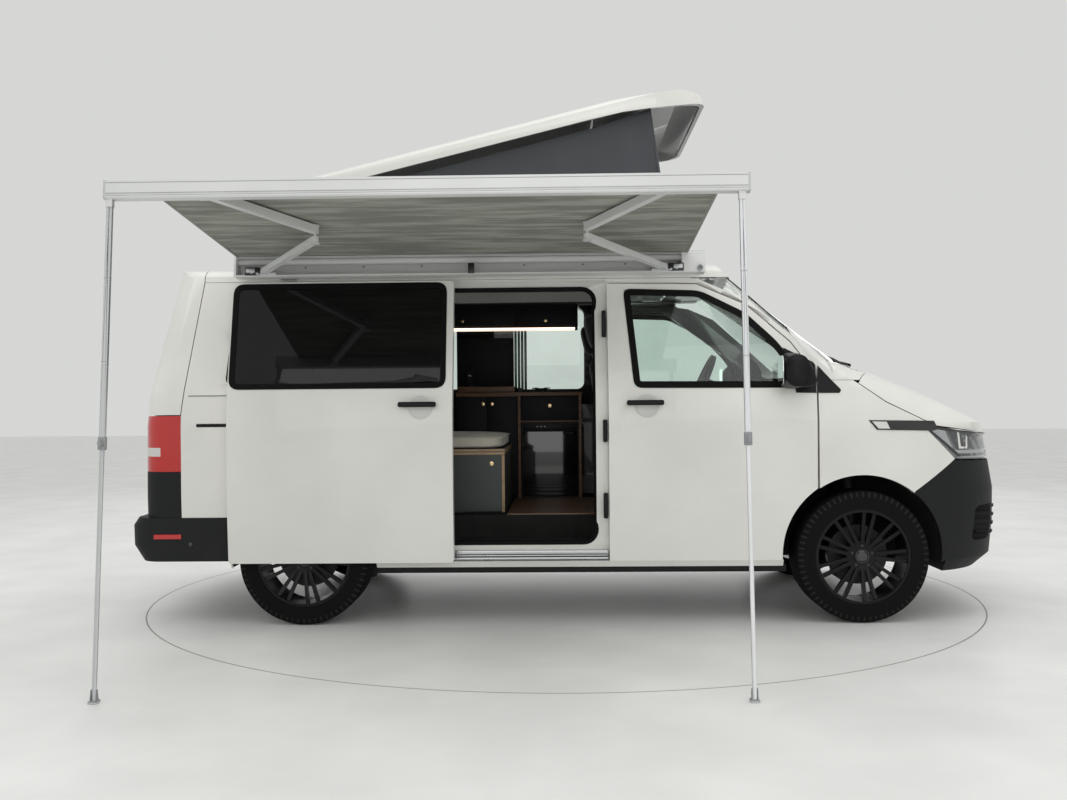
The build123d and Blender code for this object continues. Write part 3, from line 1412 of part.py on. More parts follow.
WHEEL_LEAN = 24
with BuildPart() as dashboard:
    with BuildSketch(Plane.XZ.offset(-780)):
        with BuildLine():
            Polyline(
                (1149, 900),
                (1149, 1256),
                (1330, 1256),
                (1330, 1285),
                (960, 1316),
                (905, 1290),
                (880, 1180),
                (900, 1060),
                (1060, 900),
                close=True,
            )
        make_face()
    extrude(amount=1560)
    rim_plane = Plane(
        origin=(825, 400, 1318),
        x_dir=(0, 1, 0),
        z_dir=(-cos(radians(WHEEL_LEAN)), 0, sin(radians(WHEEL_LEAN))),
    )
    with BuildSketch(rim_plane.offset(-14)):
        Circle(190)
        Circle(164, mode=Mode.SUBTRACT)
        Rectangle(350, 44)
        with Locations((0, -85)):
            Rectangle(46, 170)
        Circle(62)
    extrude(amount=28)
    with BuildSketch(rim_plane.offset(-220)):
        Circle(38)
    extrude(amount=215)

roof_with_lugs = roof_panel.part + roof_lugs.part
chassis_with_bulkhead = chassis.part + bulkhead.part

# ----------------------------------------------------------------------------- hand-over
pieces = {
    "chassis": chassis_with_bulkhead,
    "body_side_right": body_side(-1),
    "body_side_left": body_side(1),
    "roof_panel": roof_with_lugs,
    "front_wings": front_wings.part,
    "front_bumper": front_bumper.part,
    "grille": grille.part,
    "headlamps": headlamps.part,
    "tail_lamps": tail_lamps.part,
    "rear_bumper": rear_bumper.part,
    "sliding_door": open_door * sliding_door.part,
    "side_glass": side_glass.part + open_door * sliding_door_glass.part,
    "windscreen": windscreen.part,
    "arch_liners": arch_liners.part,
    "rear_axle": rear_axle.part,
    "engine_block": engine_block.part,
    "bonnet": bonnet.part,
    "tailgate": tailgate.part,
    "tailgate_glass": tailgate_glass.part,
    "pop_top_shell": pop_top_shell.part,
    "lift_arms": lift_arms.part,
    "canvas": canvas.part,
    "awning_case": awning_case.part,
    "awning_fabric": awning_fabric.part,
    "lead_bar": lead_bar.part,
    "kitchen_unit": kitchen_unit.part,
    "overhead_locker": overhead_locker.part,
    "bench": bench.part,
    "bench_cushion": bench_cushion.part,
    "front_seats": front_seats.part,
    "dashboard": dashboard.part,
}
for name, side in SIDES.items():
    pieces[f"front_door_{name}"] = front_door(side)
    pieces[f"front_door_glass_{name}"] = front_door_glass(side)
    pieces[f"mirror_{name}"] = mirror_housing(side)
    pieces[f"knuckle_{name}"] = knuckle(side)
    pieces[f"tyre_front_{name}"] = wheel_place(FRONT_HUB, side) * tyre.part
    pieces[f"rim_front_{name}"] = wheel_place(FRONT_HUB, side) * rim.part
    pieces[f"tyre_rear_{name}"] = wheel_place(REAR_HUB, side) * tyre.part
    pieces[f"rim_rear_{name}"] = wheel_place(REAR_HUB, side) * rim.part
for name in ENDS:
    pieces[f"upper_arm_{name}"] = upper_arms[name].part
    pieces[f"forearm_{name}"] = forearms[name].part
    pieces[f"leg_{name}"] = legs[name].part
    pieces[f"leg_foot_{name}"] = leg_feet[name].part

os.makedirs("parts", exist_ok=True)
for name, solid in pieces.items():
    solid.label = name
    export_step(solid, f"parts/{name}.step")
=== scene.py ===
"""Looks of a camper van with a pop-top roof, an open sliding door and a folding-arm awning.

Every sub-assembly is a class that holds its own sizes, in metres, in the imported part's frame:
+X forward, +Y to the van's left, +Z up, origin on the road under the middle of the wheelbase.
"""
import json
import logging
import math
from collections.abc import Callable, Iterable, Sequence
from dataclasses import dataclass, field
from enum import Enum

import bmesh
import bpy
from mathutils import Matrix, Vector
from mathutils.bvhtree import BVHTree
from mathutils.noise import noise


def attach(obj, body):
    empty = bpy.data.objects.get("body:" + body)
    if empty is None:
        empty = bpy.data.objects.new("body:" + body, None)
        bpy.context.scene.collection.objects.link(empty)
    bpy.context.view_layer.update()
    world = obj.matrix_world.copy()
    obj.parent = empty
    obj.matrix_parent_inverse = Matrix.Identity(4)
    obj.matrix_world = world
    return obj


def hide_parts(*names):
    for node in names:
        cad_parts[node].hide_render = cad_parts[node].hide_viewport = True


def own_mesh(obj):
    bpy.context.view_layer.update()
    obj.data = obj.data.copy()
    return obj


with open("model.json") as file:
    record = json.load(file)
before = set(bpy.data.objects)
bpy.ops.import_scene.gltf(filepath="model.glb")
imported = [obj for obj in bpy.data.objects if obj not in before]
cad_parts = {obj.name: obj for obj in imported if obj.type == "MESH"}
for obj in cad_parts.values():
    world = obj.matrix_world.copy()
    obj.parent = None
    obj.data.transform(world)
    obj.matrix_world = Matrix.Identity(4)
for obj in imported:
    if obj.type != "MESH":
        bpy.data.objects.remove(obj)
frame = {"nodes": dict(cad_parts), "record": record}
log = logging.getLogger("camper_van")
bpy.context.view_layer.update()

Point = tuple[float, float, float]
Outline = Sequence[tuple[float, float]]
RIGHT, LEFT = -1, 1
SIDE_NAMES = {RIGHT: "right", LEFT: "left"}


class Axis(Enum):
    """Direction in which an outline is drawn out."""

    X = 0
    Y = 1
    Z = 2


class Cloth(Enum):
    """Where a fabric finish takes its weave from."""

    OBJECT = "Object"
    UV = "UV"


# --------------------------------------------------------------------------- body shape
@dataclass(frozen=True)
class Flanks:
    """Half width of the van's body at each height, as three straight lines."""

    widest: float = 0.952
    cabin_slope: float = 0.2235
    cabin_start: float = 1.2175
    sill_slope: float = 0.0703
    sill_start: float = 0.9017

    def half(self, z: float) -> float:
        """Half width of the body at the height z."""
        return min(
            self.widest,
            self.cabin_start - self.cabin_slope * z,
            self.sill_start + self.sill_slope * z,
        )


FLANKS = Flanks()
SLIDE_BACK = Vector((-0.822, -0.076, 0.0))


# --------------------------------------------------------------------------- shader helpers
class Graph:
    """Adds and joins the nodes of one shader tree."""

    def __init__(self, tree: bpy.types.NodeTree) -> None:
        """Starts from an empty tree."""
        self.tree = tree
        tree.nodes.clear()

    def add(self, kind: str, inputs: dict | None = None, **settings: object) -> bpy.types.Node:
        """Adds a node.

        Args:
            kind: Blender's name of the node type.
            inputs: Socket name or number to a value or to an output socket.
            settings: The node's own properties.

        Returns:
            The new node.
        """
        node = self.tree.nodes.new(kind)
        for key, value in settings.items():
            setattr(node, key, value)
        for key, value in (inputs or {}).items():
            if isinstance(value, bpy.types.NodeSocket):
                self.tree.links.new(value, node.inputs[key])
            else:
                node.inputs[key].default_value = value
        return node

    def math(self, operation: str, *values: object) -> bpy.types.NodeSocket:
        """Adds a Math node and returns its output."""
        return self.add("ShaderNodeMath", dict(enumerate(values)), operation=operation).outputs[0]

    def mix(self, factor: object, first: object, second: object) -> bpy.types.NodeSocket:
        """Mixes two colours and returns the result."""
        node = self.add("ShaderNodeMix", {0: factor, 6: first, 7: second}, data_type="RGBA")
        return node.outputs[2]

    def cloud(
        self, place: object, scale: object, detail: float = 2.0, rough: float = 0.5, warp: float = 0.0
    ) -> bpy.types.NodeSocket:
        """Adds a cloudy pattern and returns its height."""
        inputs = {"Vector": place, "Scale": scale, "Detail": detail, "Roughness": rough, "Distortion": warp}
        return self.add("ShaderNodeTexNoise", inputs).outputs[0]

    def stretch(self, place: object, along_x: float) -> bpy.types.NodeSocket:
        """Draws the surface coordinates out along X."""
        return self.add("ShaderNodeMapping", {"Vector": place, "Scale": (along_x, 1.0, 1.0)}).outputs[0]

    def axes(self, place: object) -> bpy.types.NodeOutputs:
        """Splits a vector into its X, Y and Z."""
        return self.add("ShaderNodeSeparateXYZ", {0: place}).outputs

    def group(self, name: str, inputs: dict) -> bpy.types.NodeOutputs:
        """Adds a shared effect and returns its outputs."""
        return self.add("ShaderNodeGroup", inputs, node_tree=NodeGroups.get(name)).outputs

    def span(self, value: object, low: float, high: float) -> bpy.types.NodeSocket:
        """Maps the value from low..high to 0..1 and returns it."""
        return self.add("ShaderNodeMapRange", {0: value, 1: low, 2: high}).outputs[0]

    def place(self, source: str = "Object") -> bpy.types.NodeSocket:
        """Returns the surface coordinates of the kind named."""
        return self.add("ShaderNodeTexCoord").outputs[source]


class NodeGroups:
    """Effects that several materials share, each built once."""

    built: dict[str, bpy.types.NodeTree] = {}

    @classmethod
    def get(cls, name: str) -> bpy.types.NodeTree:
        """Returns the named group, building it the first time."""
        if name not in cls.built:
            cls.built[name] = getattr(cls, name)()
        return cls.built[name]

    @staticmethod
    def start(
        name: str, inputs: dict[str, object], outputs: dict[str, str]
    ) -> tuple[Graph, bpy.types.NodeOutputs]:
        """Makes an empty group with its sockets.

        Args:
            name: Name of the group.
            inputs: Socket name to its default: a number, a colour, or None for a vector.
            outputs: Socket name to "Float" or "Color".

        Returns:
            The group's graph and what it is given.
        """
        tree = bpy.data.node_groups.new(name, "ShaderNodeTree")
        for label, default in inputs.items():
            kind = "Vector" if default is None else "Color" if isinstance(default, tuple) else "Float"
            socket = tree.interface.new_socket(label, in_out="INPUT", socket_type=f"NodeSocket{kind}")
            if default is not None:
                socket.default_value = default
        for label, kind in outputs.items():
            tree.interface.new_socket(label, in_out="OUTPUT", socket_type=f"NodeSocket{kind}")
        graph = Graph(tree)
        return graph, graph.add("NodeGroupInput").outputs

    @classmethod
    def grain(cls) -> bpy.types.NodeTree:
        """Fine moulded or sprayed grain: a height and a slow change of roughness."""
        graph, given = cls.start(
            "grain",
            {"Place": None, "Scale": 600.0, "Rough": 0.5, "Spread": 0.1},
            {"Height": "Float", "Roughness": "Float"},
        )
        fine = graph.cloud(given["Place"], given["Scale"])
        slow = graph.cloud(given["Place"], 3.1, 3.0)
        drift = graph.math("MULTIPLY", graph.math("SUBTRACT", slow, 0.5), given["Spread"])
        rough = graph.math("ADD", given["Rough"], drift)
        graph.add("NodeGroupOutput", {"Height": fine, "Roughness": rough})
        return graph.tree

    @classmethod
    def dust(cls) -> bpy.types.NodeTree:
        """Road dust that thickens towards the ground, and soft blotches elsewhere."""
        graph, given = cls.start(
            "dust",
            {
                "Place": None, "Colour": (0.5, 0.5, 0.5, 1.0), "Dust": (0.35, 0.33, 0.3, 1.0),
                "Amount": 0.2, "Top": 0.5,
            },
            {"Color": "Color", "Mask": "Float"},
        )
        fall = graph.span(graph.axes(given["Place"])["Z"], given["Top"], 0.0)
        blotch = graph.span(graph.cloud(given["Place"], 7.0, 5.0, 0.65), 0.3, 0.75)
        mask = graph.math("MULTIPLY", graph.math("MULTIPLY", fall, blotch), given["Amount"])
        mixed = graph.mix(mask, given["Colour"], given["Dust"])
        graph.add("NodeGroupOutput", {"Color": mixed, "Mask": mask})
        return graph.tree

    @classmethod
    def weave(cls) -> bpy.types.NodeTree:
        """Plain weave: the height of crossing threads and the shade between them."""
        graph, given = cls.start(
            "weave", {"Place": None, "Threads": 900.0}, {"Height": "Float", "Shade": "Float"}
        )
        where = graph.axes(given["Place"])
        lengthwise = graph.math("ADD", where["Y"], where["Z"])
        warp = graph.math("SINE", graph.math("MULTIPLY", where["X"], given["Threads"]))
        weft = graph.math("SINE", graph.math("MULTIPLY", lengthwise, given["Threads"]))
        crossed = graph.math("MULTIPLY", warp, weft)
        height = graph.math("ADD", graph.math("MULTIPLY", crossed, 0.5), 0.5)
        speck = graph.cloud(given["Place"], 180.0, 3.0, 0.7)
        shade = graph.math("MULTIPLY_ADD", height, 0.25, graph.math("MULTIPLY", speck, 0.75))
        graph.add("NodeGroupOutput", {"Height": height, "Shade": shade})
        return graph.tree

    @classmethod
    def timber(cls) -> bpy.types.NodeTree:
        """Straight timber grain along X."""
        graph, given = cls.start(
            "timber",
            {"Place": None, "Light": (0.6, 0.45, 0.3, 1.0), "Dark": (0.4, 0.25, 0.15, 1.0), "Scale": 40.0},
            {"Color": "Color", "Height": "Float"},
        )
        fibre = graph.cloud(graph.stretch(given["Place"], 0.06), given["Scale"], 6.0, warp=0.4)
        mixed = graph.mix(graph.span(fibre, 0.3, 0.72), given["Dark"], given["Light"])
        graph.add("NodeGroupOutput", {"Color": mixed, "Height": fibre})
        return graph.tree


Colour = tuple[float, float, float]


def rgba(colour: Colour, share: float = 1.0) -> tuple[float, float, float, float]:
    """The colour, or a lighter or deeper share of it, with full opacity."""
    return (*(min(1.0, share * part) for part in colour), 1.0)


@dataclass(frozen=True)
class Finish:
    """A moulded, sprayed or rubbery surface; the base of every other finish."""

    name: str
    colour: Colour
    rough: float = 0.5
    spread: float = 0.1
    grain: float = 600.0
    relief: float = 0.1
    metallic: float = 0.0
    coat: float = 0.0
    dusty: float = 0.0
    dust_top: float = 0.6
    sheen: float = 0.0
    shine: float = 0.5

    def material(self) -> bpy.types.Material:
        """Returns the finish's material, building it the first time."""
        label = f"{self.name}_finish"
        found = bpy.data.materials.get(label)
        if found:
            return found
        made = bpy.data.materials.new(label)
        made.use_nodes = True
        graph = Graph(made.node_tree)
        shader = graph.add("ShaderNodeBsdfPrincipled")
        graph.add("ShaderNodeOutputMaterial", {"Surface": shader.outputs[0]})
        self.shade(graph, shader)
        return made

    def shade(self, graph: Graph, shader: bpy.types.Node) -> None:
        """Joins the colour, roughness and relief to the shader."""
        place = graph.place()
        grain = graph.group(
            "grain", {"Place": place, "Scale": self.grain, "Rough": self.rough, "Spread": self.spread}
        )
        self.link(graph, grain["Roughness"], shader, "Roughness")
        self.link(graph, self.colours(graph, place), shader, "Base Color")
        self.bump(graph, shader, grain["Height"], self.relief)
        shader.inputs["Metallic"].default_value = self.metallic
        shader.inputs["Coat Weight"].default_value = self.coat
        shader.inputs["Coat Roughness"].default_value = 0.03
        shader.inputs["Sheen Weight"].default_value = self.sheen
        shader.inputs["Specular IOR Level"].default_value = self.shine

    def colours(self, graph: Graph, place: bpy.types.NodeSocket) -> bpy.types.NodeSocket:
        """Returns the colour socket: the base colour with slow blotches and dust."""
        blotch = graph.span(graph.cloud(place, 1.7, 4.0), 0.35, 0.7)
        base = graph.mix(blotch, rgba(self.colour, 0.9), rgba(self.colour))
        if not self.dusty:
            return base
        given = {"Place": place, "Colour": base, "Amount": self.dusty, "Top": self.dust_top}
        return graph.group("dust", given)["Color"]

    @staticmethod
    def link(graph: Graph, value: bpy.types.NodeSocket, shader: bpy.types.Node, socket: str) -> None:
        """Joins a value to the named socket of the shader."""
        graph.tree.links.new(value, shader.inputs[socket])

    @classmethod
    def bump(
        cls, graph: Graph, shader: bpy.types.Node, height: bpy.types.NodeSocket, strength: float
    ) -> None:
        """Gives the shader relief from a height."""
        node = graph.add("ShaderNodeBump", {"Height": height, "Strength": strength, "Distance": 0.001})
        cls.link(graph, node.outputs[0], shader, "Normal")


@dataclass(frozen=True)
class Paint(Finish):
    """Sprayed body paint under a clear coat."""

    rough: float = 0.32
    spread: float = 0.05
    grain: float = 240.0
    relief: float = 0.02
    coat: float = 0.55


@dataclass(frozen=True)
class PanelPaint(Paint):
    """Body paint outside, dark trim or lining on the faces that look into the cabin."""

    trim: Colour = (0.035, 0.035, 0.037)
    skin: float = 0.052
    downward: bool = False

    def colours(self, graph: Graph, place: bpy.types.NodeSocket) -> bpy.types.NodeSocket:
        """Returns paint near the outer surface and trim further in."""
        paint = super().colours(graph, place)
        return graph.mix(self.inside(graph, place), paint, rgba(self.trim))

    def inside(self, graph: Graph, place: bpy.types.NodeSocket) -> bpy.types.NodeSocket:
        """Returns 1 on the faces that belong to the cabin and 0 on painted ones."""
        if self.downward:
            return graph.math("LESS_THAN", graph.axes(graph.place("Normal"))["Z"], -0.2)
        where = graph.axes(place)
        side = graph.math("ABSOLUTE", where["Y"])
        cabin = graph.math("MULTIPLY_ADD", where["Z"], -FLANKS.cabin_slope, FLANKS.cabin_start)
        sill = graph.math("MULTIPLY_ADD", where["Z"], FLANKS.sill_slope, FLANKS.sill_start)
        half = graph.math("MINIMUM", graph.math("MINIMUM", cabin, sill), FLANKS.widest)
        return graph.math("GREATER_THAN", graph.math("SUBTRACT", half, side), self.skin)


@dataclass(frozen=True)
class Fabric(Finish):
    """Woven cloth, with streaks along X where it has any."""

    threads: float = 900.0
    streak: float = 0.0
    source: Cloth = Cloth.OBJECT

    def shade(self, graph: Graph, shader: bpy.types.Node) -> None:
        """Joins the weave's colour and relief to the shader."""
        place = graph.place(self.source.value)
        weave = graph.group("weave", {"Place": place, "Threads": self.threads})
        colour = graph.mix(weave["Shade"], rgba(self.colour, 0.62), rgba(self.colour, 1.25))
        if self.streak:
            lines = graph.cloud(graph.stretch(place, 0.13), 13.0, 5.0, 0.65)
            share = graph.math("MULTIPLY", graph.span(lines, 0.44, 0.60), 0.85)
            colour = graph.mix(share, colour, rgba(self.colour, 1 + self.streak))
        self.link(graph, colour, shader, "Base Color")
        rough = graph.math("MULTIPLY_ADD", weave["Shade"], 0.2, self.rough)
        self.link(graph, rough, shader, "Roughness")
        self.bump(graph, shader, weave["Height"], self.relief)
        shader.inputs["Sheen Weight"].default_value = self.sheen
        shader.inputs["Sheen Roughness"].default_value = 0.5
        shader.inputs["Specular IOR Level"].default_value = self.shine


@dataclass(frozen=True)
class Timber(Finish):
    """Straight-grained timber or ply."""

    dark: Colour = (0.3, 0.2, 0.1)
    fibre: float = 40.0

    def shade(self, graph: Graph, shader: bpy.types.Node) -> None:
        """Joins the grain's colour and relief to the shader."""
        place = graph.place()
        timber = graph.group(
            "timber",
            {"Place": place, "Light": rgba(self.colour), "Dark": rgba(self.dark), "Scale": self.fibre},
        )
        self.link(graph, timber["Color"], shader, "Base Color")
        rough = graph.math("MULTIPLY_ADD", timber["Height"], 0.2, self.rough)
        self.link(graph, rough, shader, "Roughness")
        self.bump(graph, shader, timber["Height"], self.relief)
        shader.inputs["Coat Weight"].default_value = self.coat


@dataclass(frozen=True)
class Glazing(Finish):
    """Tinted glass that shows a share of what is behind it."""

    opacity: float = 0.3
    clear: float = 0.0

    def shade(self, graph: Graph, shader: bpy.types.Node) -> None:
        """Joins a faint smear to the glass and sets how much shows through."""
        super().shade(graph, shader)
        shader.inputs["Transmission Weight"].default_value = self.clear
        if self.clear:
            return
        alpha = graph.math("MULTIPLY_ADD", graph.cloud(graph.place(), 2.3), 0.03, self.opacity)
        self.link(graph, alpha, shader, "Alpha")


@dataclass(frozen=True)
class Glow(Finish):
    """A lit strip behind a diffuser."""

    strength: float = 3.0

    def shade(self, graph: Graph, shader: bpy.types.Node) -> None:
        """Joins the lit colour to the shader."""
        super().shade(graph, shader)
        wave = graph.cloud(graph.place(), 60.0)
        lit = graph.mix(wave, rgba(self.colour, 0.85), rgba(self.colour))
        self.link(graph, lit, shader, "Emission Color")
        shader.inputs["Emission Strength"].default_value = self.strength


@dataclass(frozen=True)
class LampBands(Finish):
    """A tail lamp: red with a pale band low down, behind the body's corner."""

    band: tuple[float, float] = (0.915, 0.962)
    corner: float = -2.27
    pale: Colour = (0.62, 0.60, 0.58)

    def colours(self, graph: Graph, place: bpy.types.NodeSocket) -> bpy.types.NodeSocket:
        """Returns red, with the band where the height says."""
        red = super().colours(graph, place)
        where = graph.axes(place)
        above = graph.math("GREATER_THAN", where["Z"], self.band[0])
        below = graph.math("LESS_THAN", where["Z"], self.band[1])
        behind = graph.math("LESS_THAN", where["X"], self.corner)
        mask = graph.math("MULTIPLY", graph.math("MULTIPLY", above, below), behind)
        return graph.mix(mask, red, rgba(self.pale))


WHITE = (0.80, 0.79, 0.755)
PAINT = PanelPaint("body_paint", WHITE, dusty=0.06)
SIDE_PAINT = PanelPaint("side_paint", WHITE, skin=0.074, dusty=0.05)
ROOF_PAINT = PanelPaint("roof_paint", WHITE, downward=True)
SHELL_PAINT = PanelPaint(
    "shell_paint", WHITE, rough=0.4, relief=0.04, coat=0.3, downward=True, trim=(0.30, 0.30, 0.30)
)
OUTER_PAINT = Paint("wing_paint", WHITE, dusty=0.05)
TAIL_PAINT = Paint("tailgate_paint", WHITE)
# Greyer copy of the body paint: painted shade for the round hollow behind each door handle.
HANDLE_CUP_SHADE = Paint("handle_cup_painted_shade", (0.66, 0.655, 0.63), rough=0.36, coat=0.4)
BUMPER = Finish(
    "bumper_plastic", (0.019, 0.0195, 0.021), rough=0.55, spread=0.08, grain=900,
    relief=0.25, dusty=0.04, shine=0.12
)
SATIN_BLACK = Finish(
    "satin_black_plastic", (0.009, 0.009, 0.0095), rough=0.42, spread=0.08, grain=700, relief=0.12, shine=0.2
)
GLOSS_BLACK = Finish(
    "gloss_black", (0.008, 0.008, 0.009), rough=0.1, spread=0.03, grain=300, relief=0.01, coat=0.8
)
SEAL = Finish(
    "door_seal_rubber", (0.005, 0.005, 0.005), rough=0.6, spread=0.1, grain=500, relief=0.1, shine=0.1
)
LINER = Finish("arch_felt", (0.007, 0.007, 0.007), rough=0.95, spread=0.05, grain=400, relief=0.5)
UNDERSIDE = Finish(
    "underbody", (0.010, 0.010, 0.010), rough=0.7, spread=0.15, grain=120, relief=0.3, dusty=0.12, shine=0.15
)
CASTING = Finish(
    "cast_metal", (0.05, 0.05, 0.052), rough=0.55, spread=0.2, grain=300, relief=0.35, metallic=0.7
)
TYRE = Finish(
    "tyre_rubber", (0.0095, 0.0095, 0.010), rough=0.72, spread=0.12, grain=420,
    relief=0.25, dusty=0.0, shine=0.03
)
ALLOY = Finish(
    "satin_black_alloy", (0.004, 0.004, 0.0045), rough=0.33, spread=0.08, grain=800,
    relief=0.05, coat=0.08, shine=0.18
)
DISC = Finish(
    "brake_disc", (0.035, 0.035, 0.036), rough=0.4, spread=0.15, grain=350, relief=0.2, metallic=0.9
)
BRIGHT = Finish(
    "bright_chrome", (0.75, 0.76, 0.78), rough=0.08, spread=0.03, grain=300, relief=0.02, metallic=1.0
)
POWDER = Finish(
    "awning_powder_coat", (0.72, 0.725, 0.72), rough=0.38, spread=0.06, grain=500, relief=0.06, coat=0.15
)
ANODISED = Finish(
    "anodised_tube", (0.60, 0.61, 0.62), rough=0.36, spread=0.1, grain=600, relief=0.08, metallic=0.75
)
GREY_PLASTIC = Finish("grey_plastic", (0.30, 0.31, 0.32), rough=0.5, spread=0.08, grain=700, relief=0.15)
CLEAR_GLASS = Glazing("door_glass", (0.87, 0.985, 0.93), rough=0.0, spread=0.004, relief=0.0, clear=1.0)
SCREEN_GLASS = Glazing("screen_glass", (0.88, 0.95, 0.92), rough=0.0, spread=0.004, relief=0.0, clear=1.0)
DARK_GLASS = Glazing(
    "privacy_glass", (0.002, 0.002, 0.0025), rough=0.03, spread=0.01, relief=0.0,
    coat=0.1, opacity=0.955, shine=0.3
)
LENS = Glazing(
    "lamp_lens", (0.75, 0.78, 0.80), rough=0.03, spread=0.01, relief=0.0, coat=0.5, opacity=0.22
)
RED_LENS = Finish(
    "red_lens", (0.55, 0.012, 0.010), rough=0.12, spread=0.04, grain=90, relief=0.05, coat=0.7
)
WHITE_LENS = Finish(
    "white_lens", (0.75, 0.75, 0.73), rough=0.15, spread=0.04, grain=90, relief=0.05, coat=0.6
)
AWNING_CLOTH = Fabric(
    "awning_cloth", (0.255, 0.257, 0.230), rough=0.75, threads=1500, relief=0.2,
    streak=0.6, sheen=0.0, shine=0.03, source=Cloth.UV
)
CANVAS = Fabric("pop_top_canvas", (0.075, 0.08, 0.09), rough=0.8, threads=1400, relief=0.3, sheen=0.25)
SEAT_CLOTH = Fabric(
    "seat_cloth", (0.020, 0.020, 0.022), rough=0.85, threads=1100, relief=0.35, sheen=0.2, shine=0.15
)
CUSHION_CLOTH = Fabric(
    "cushion_cloth", (0.60, 0.56, 0.48), rough=0.8, threads=1200, relief=0.3, sheen=0.3
)
STITCH = Finish("brown_stitching", (0.16, 0.08, 0.04), rough=0.7, spread=0.1, grain=900, relief=0.4)
WALNUT = Timber(
    "walnut_floor", (0.20, 0.105, 0.058), rough=0.38, relief=0.15, coat=0.15,
    dark=(0.085, 0.040, 0.022), fibre=55
)
PLY_EDGE = Timber(
    "ply_edge", (0.50, 0.36, 0.22), rough=0.5, relief=0.2, dark=(0.30, 0.19, 0.10), fibre=160
)
CHARCOAL = Finish(
    "charcoal_board", (0.012, 0.0125, 0.014), rough=0.55, spread=0.08, grain=500, relief=0.08, shine=0.2
)
BENCH_BOARD = Finish(
    "green_grey_board", (0.050, 0.062, 0.058), rough=0.5, spread=0.08, grain=500, relief=0.06
)
BRASS = Finish("brass", (0.70, 0.52, 0.30), rough=0.25, spread=0.1, grain=500, relief=0.05, metallic=1.0)
GREEN_STRIP = Finish(
    "green_edge_strips", (0.16, 0.24, 0.20), rough=0.3, spread=0.1, grain=300, relief=0.05
)
RAIL_STEEL = Finish(
    "slide_rail_steel", (0.62, 0.63, 0.64), rough=0.28, spread=0.12, grain=420, relief=0.08, metallic=0.9
)
MIRROR = Finish(
    "mirror_glass", (0.78, 0.79, 0.80), rough=0.02, spread=0.01, grain=200, relief=0.0, metallic=1.0
)
LAMP_DARK = Finish(
    "lamp_dark", (0.05, 0.052, 0.056), rough=0.12, spread=0.05, grain=60, relief=0.1, coat=0.8
)
LAMP_CHROME = Finish(
    "lamp_chrome", (0.46, 0.47, 0.49), rough=0.16, spread=0.1, grain=60, relief=0.25, metallic=0.9
)
TAIL_LAMP = LampBands(
    "tail_lamp", (0.52, 0.012, 0.010), rough=0.14, spread=0.04, grain=90, relief=0.06, coat=0.7
)
PLATE = Finish(
    "blank_plate", (0.78, 0.78, 0.76), rough=0.35, spread=0.05, grain=400, relief=0.05, coat=0.2
)
SEAM_CLOTH = Fabric("canvas_seam", (0.03, 0.032, 0.037), rough=0.85, threads=1400, relief=0.3, sheen=0.2)
HEM_CLOTH = Fabric("awning_hem", (0.30, 0.30, 0.29), rough=0.75, threads=1500, relief=0.2)
GREY_CAP = Finish("grey_end_cap", (0.55, 0.56, 0.56), rough=0.45, spread=0.06, grain=700, relief=0.1)
LUG_RUBBER = Finish(
    "lug_rubber", (0.030, 0.028, 0.026), rough=0.8, spread=0.12, grain=420, relief=0.25, shine=0.05
)
STEEL_DARK = Finish(
    "dark_steel", (0.06, 0.06, 0.065), rough=0.35, spread=0.12, grain=300, relief=0.1, metallic=0.9
)
WALNUT_TRIM = Timber(
    "walnut_trim", (0.25, 0.13, 0.07), rough=0.42, relief=0.15, dark=(0.11, 0.055, 0.03), fibre=90
)
PIPING = Fabric("cushion_piping", (0.52, 0.48, 0.41), rough=0.8, threads=1200, relief=0.3, sheen=0.3)
DASH = Finish(
    "dash_plastic", (0.018, 0.018, 0.019), rough=0.62, spread=0.08, grain=800, relief=0.3, shine=0.15
)
RUBBER_MAT = Finish(
    "step_rubber", (0.013, 0.013, 0.013), rough=0.7, spread=0.1, grain=420, relief=0.3, dusty=0.05, shine=0.12
)
FLOOR = Finish("studio_floor", (0.87, 0.87, 0.855), rough=0.42, spread=0.1, grain=60, relief=0.02)
JOINT_LINE = Finish("floor_joint", (0.30, 0.30, 0.29), rough=0.6, spread=0.1, grain=60, relief=0.02)
LED = Glow("led_strip", (1.0, 0.78, 0.62), rough=0.5, strength=2.2)


# --------------------------------------------------------------------------- mesh helpers
JOIN_WITHIN = 1e-5


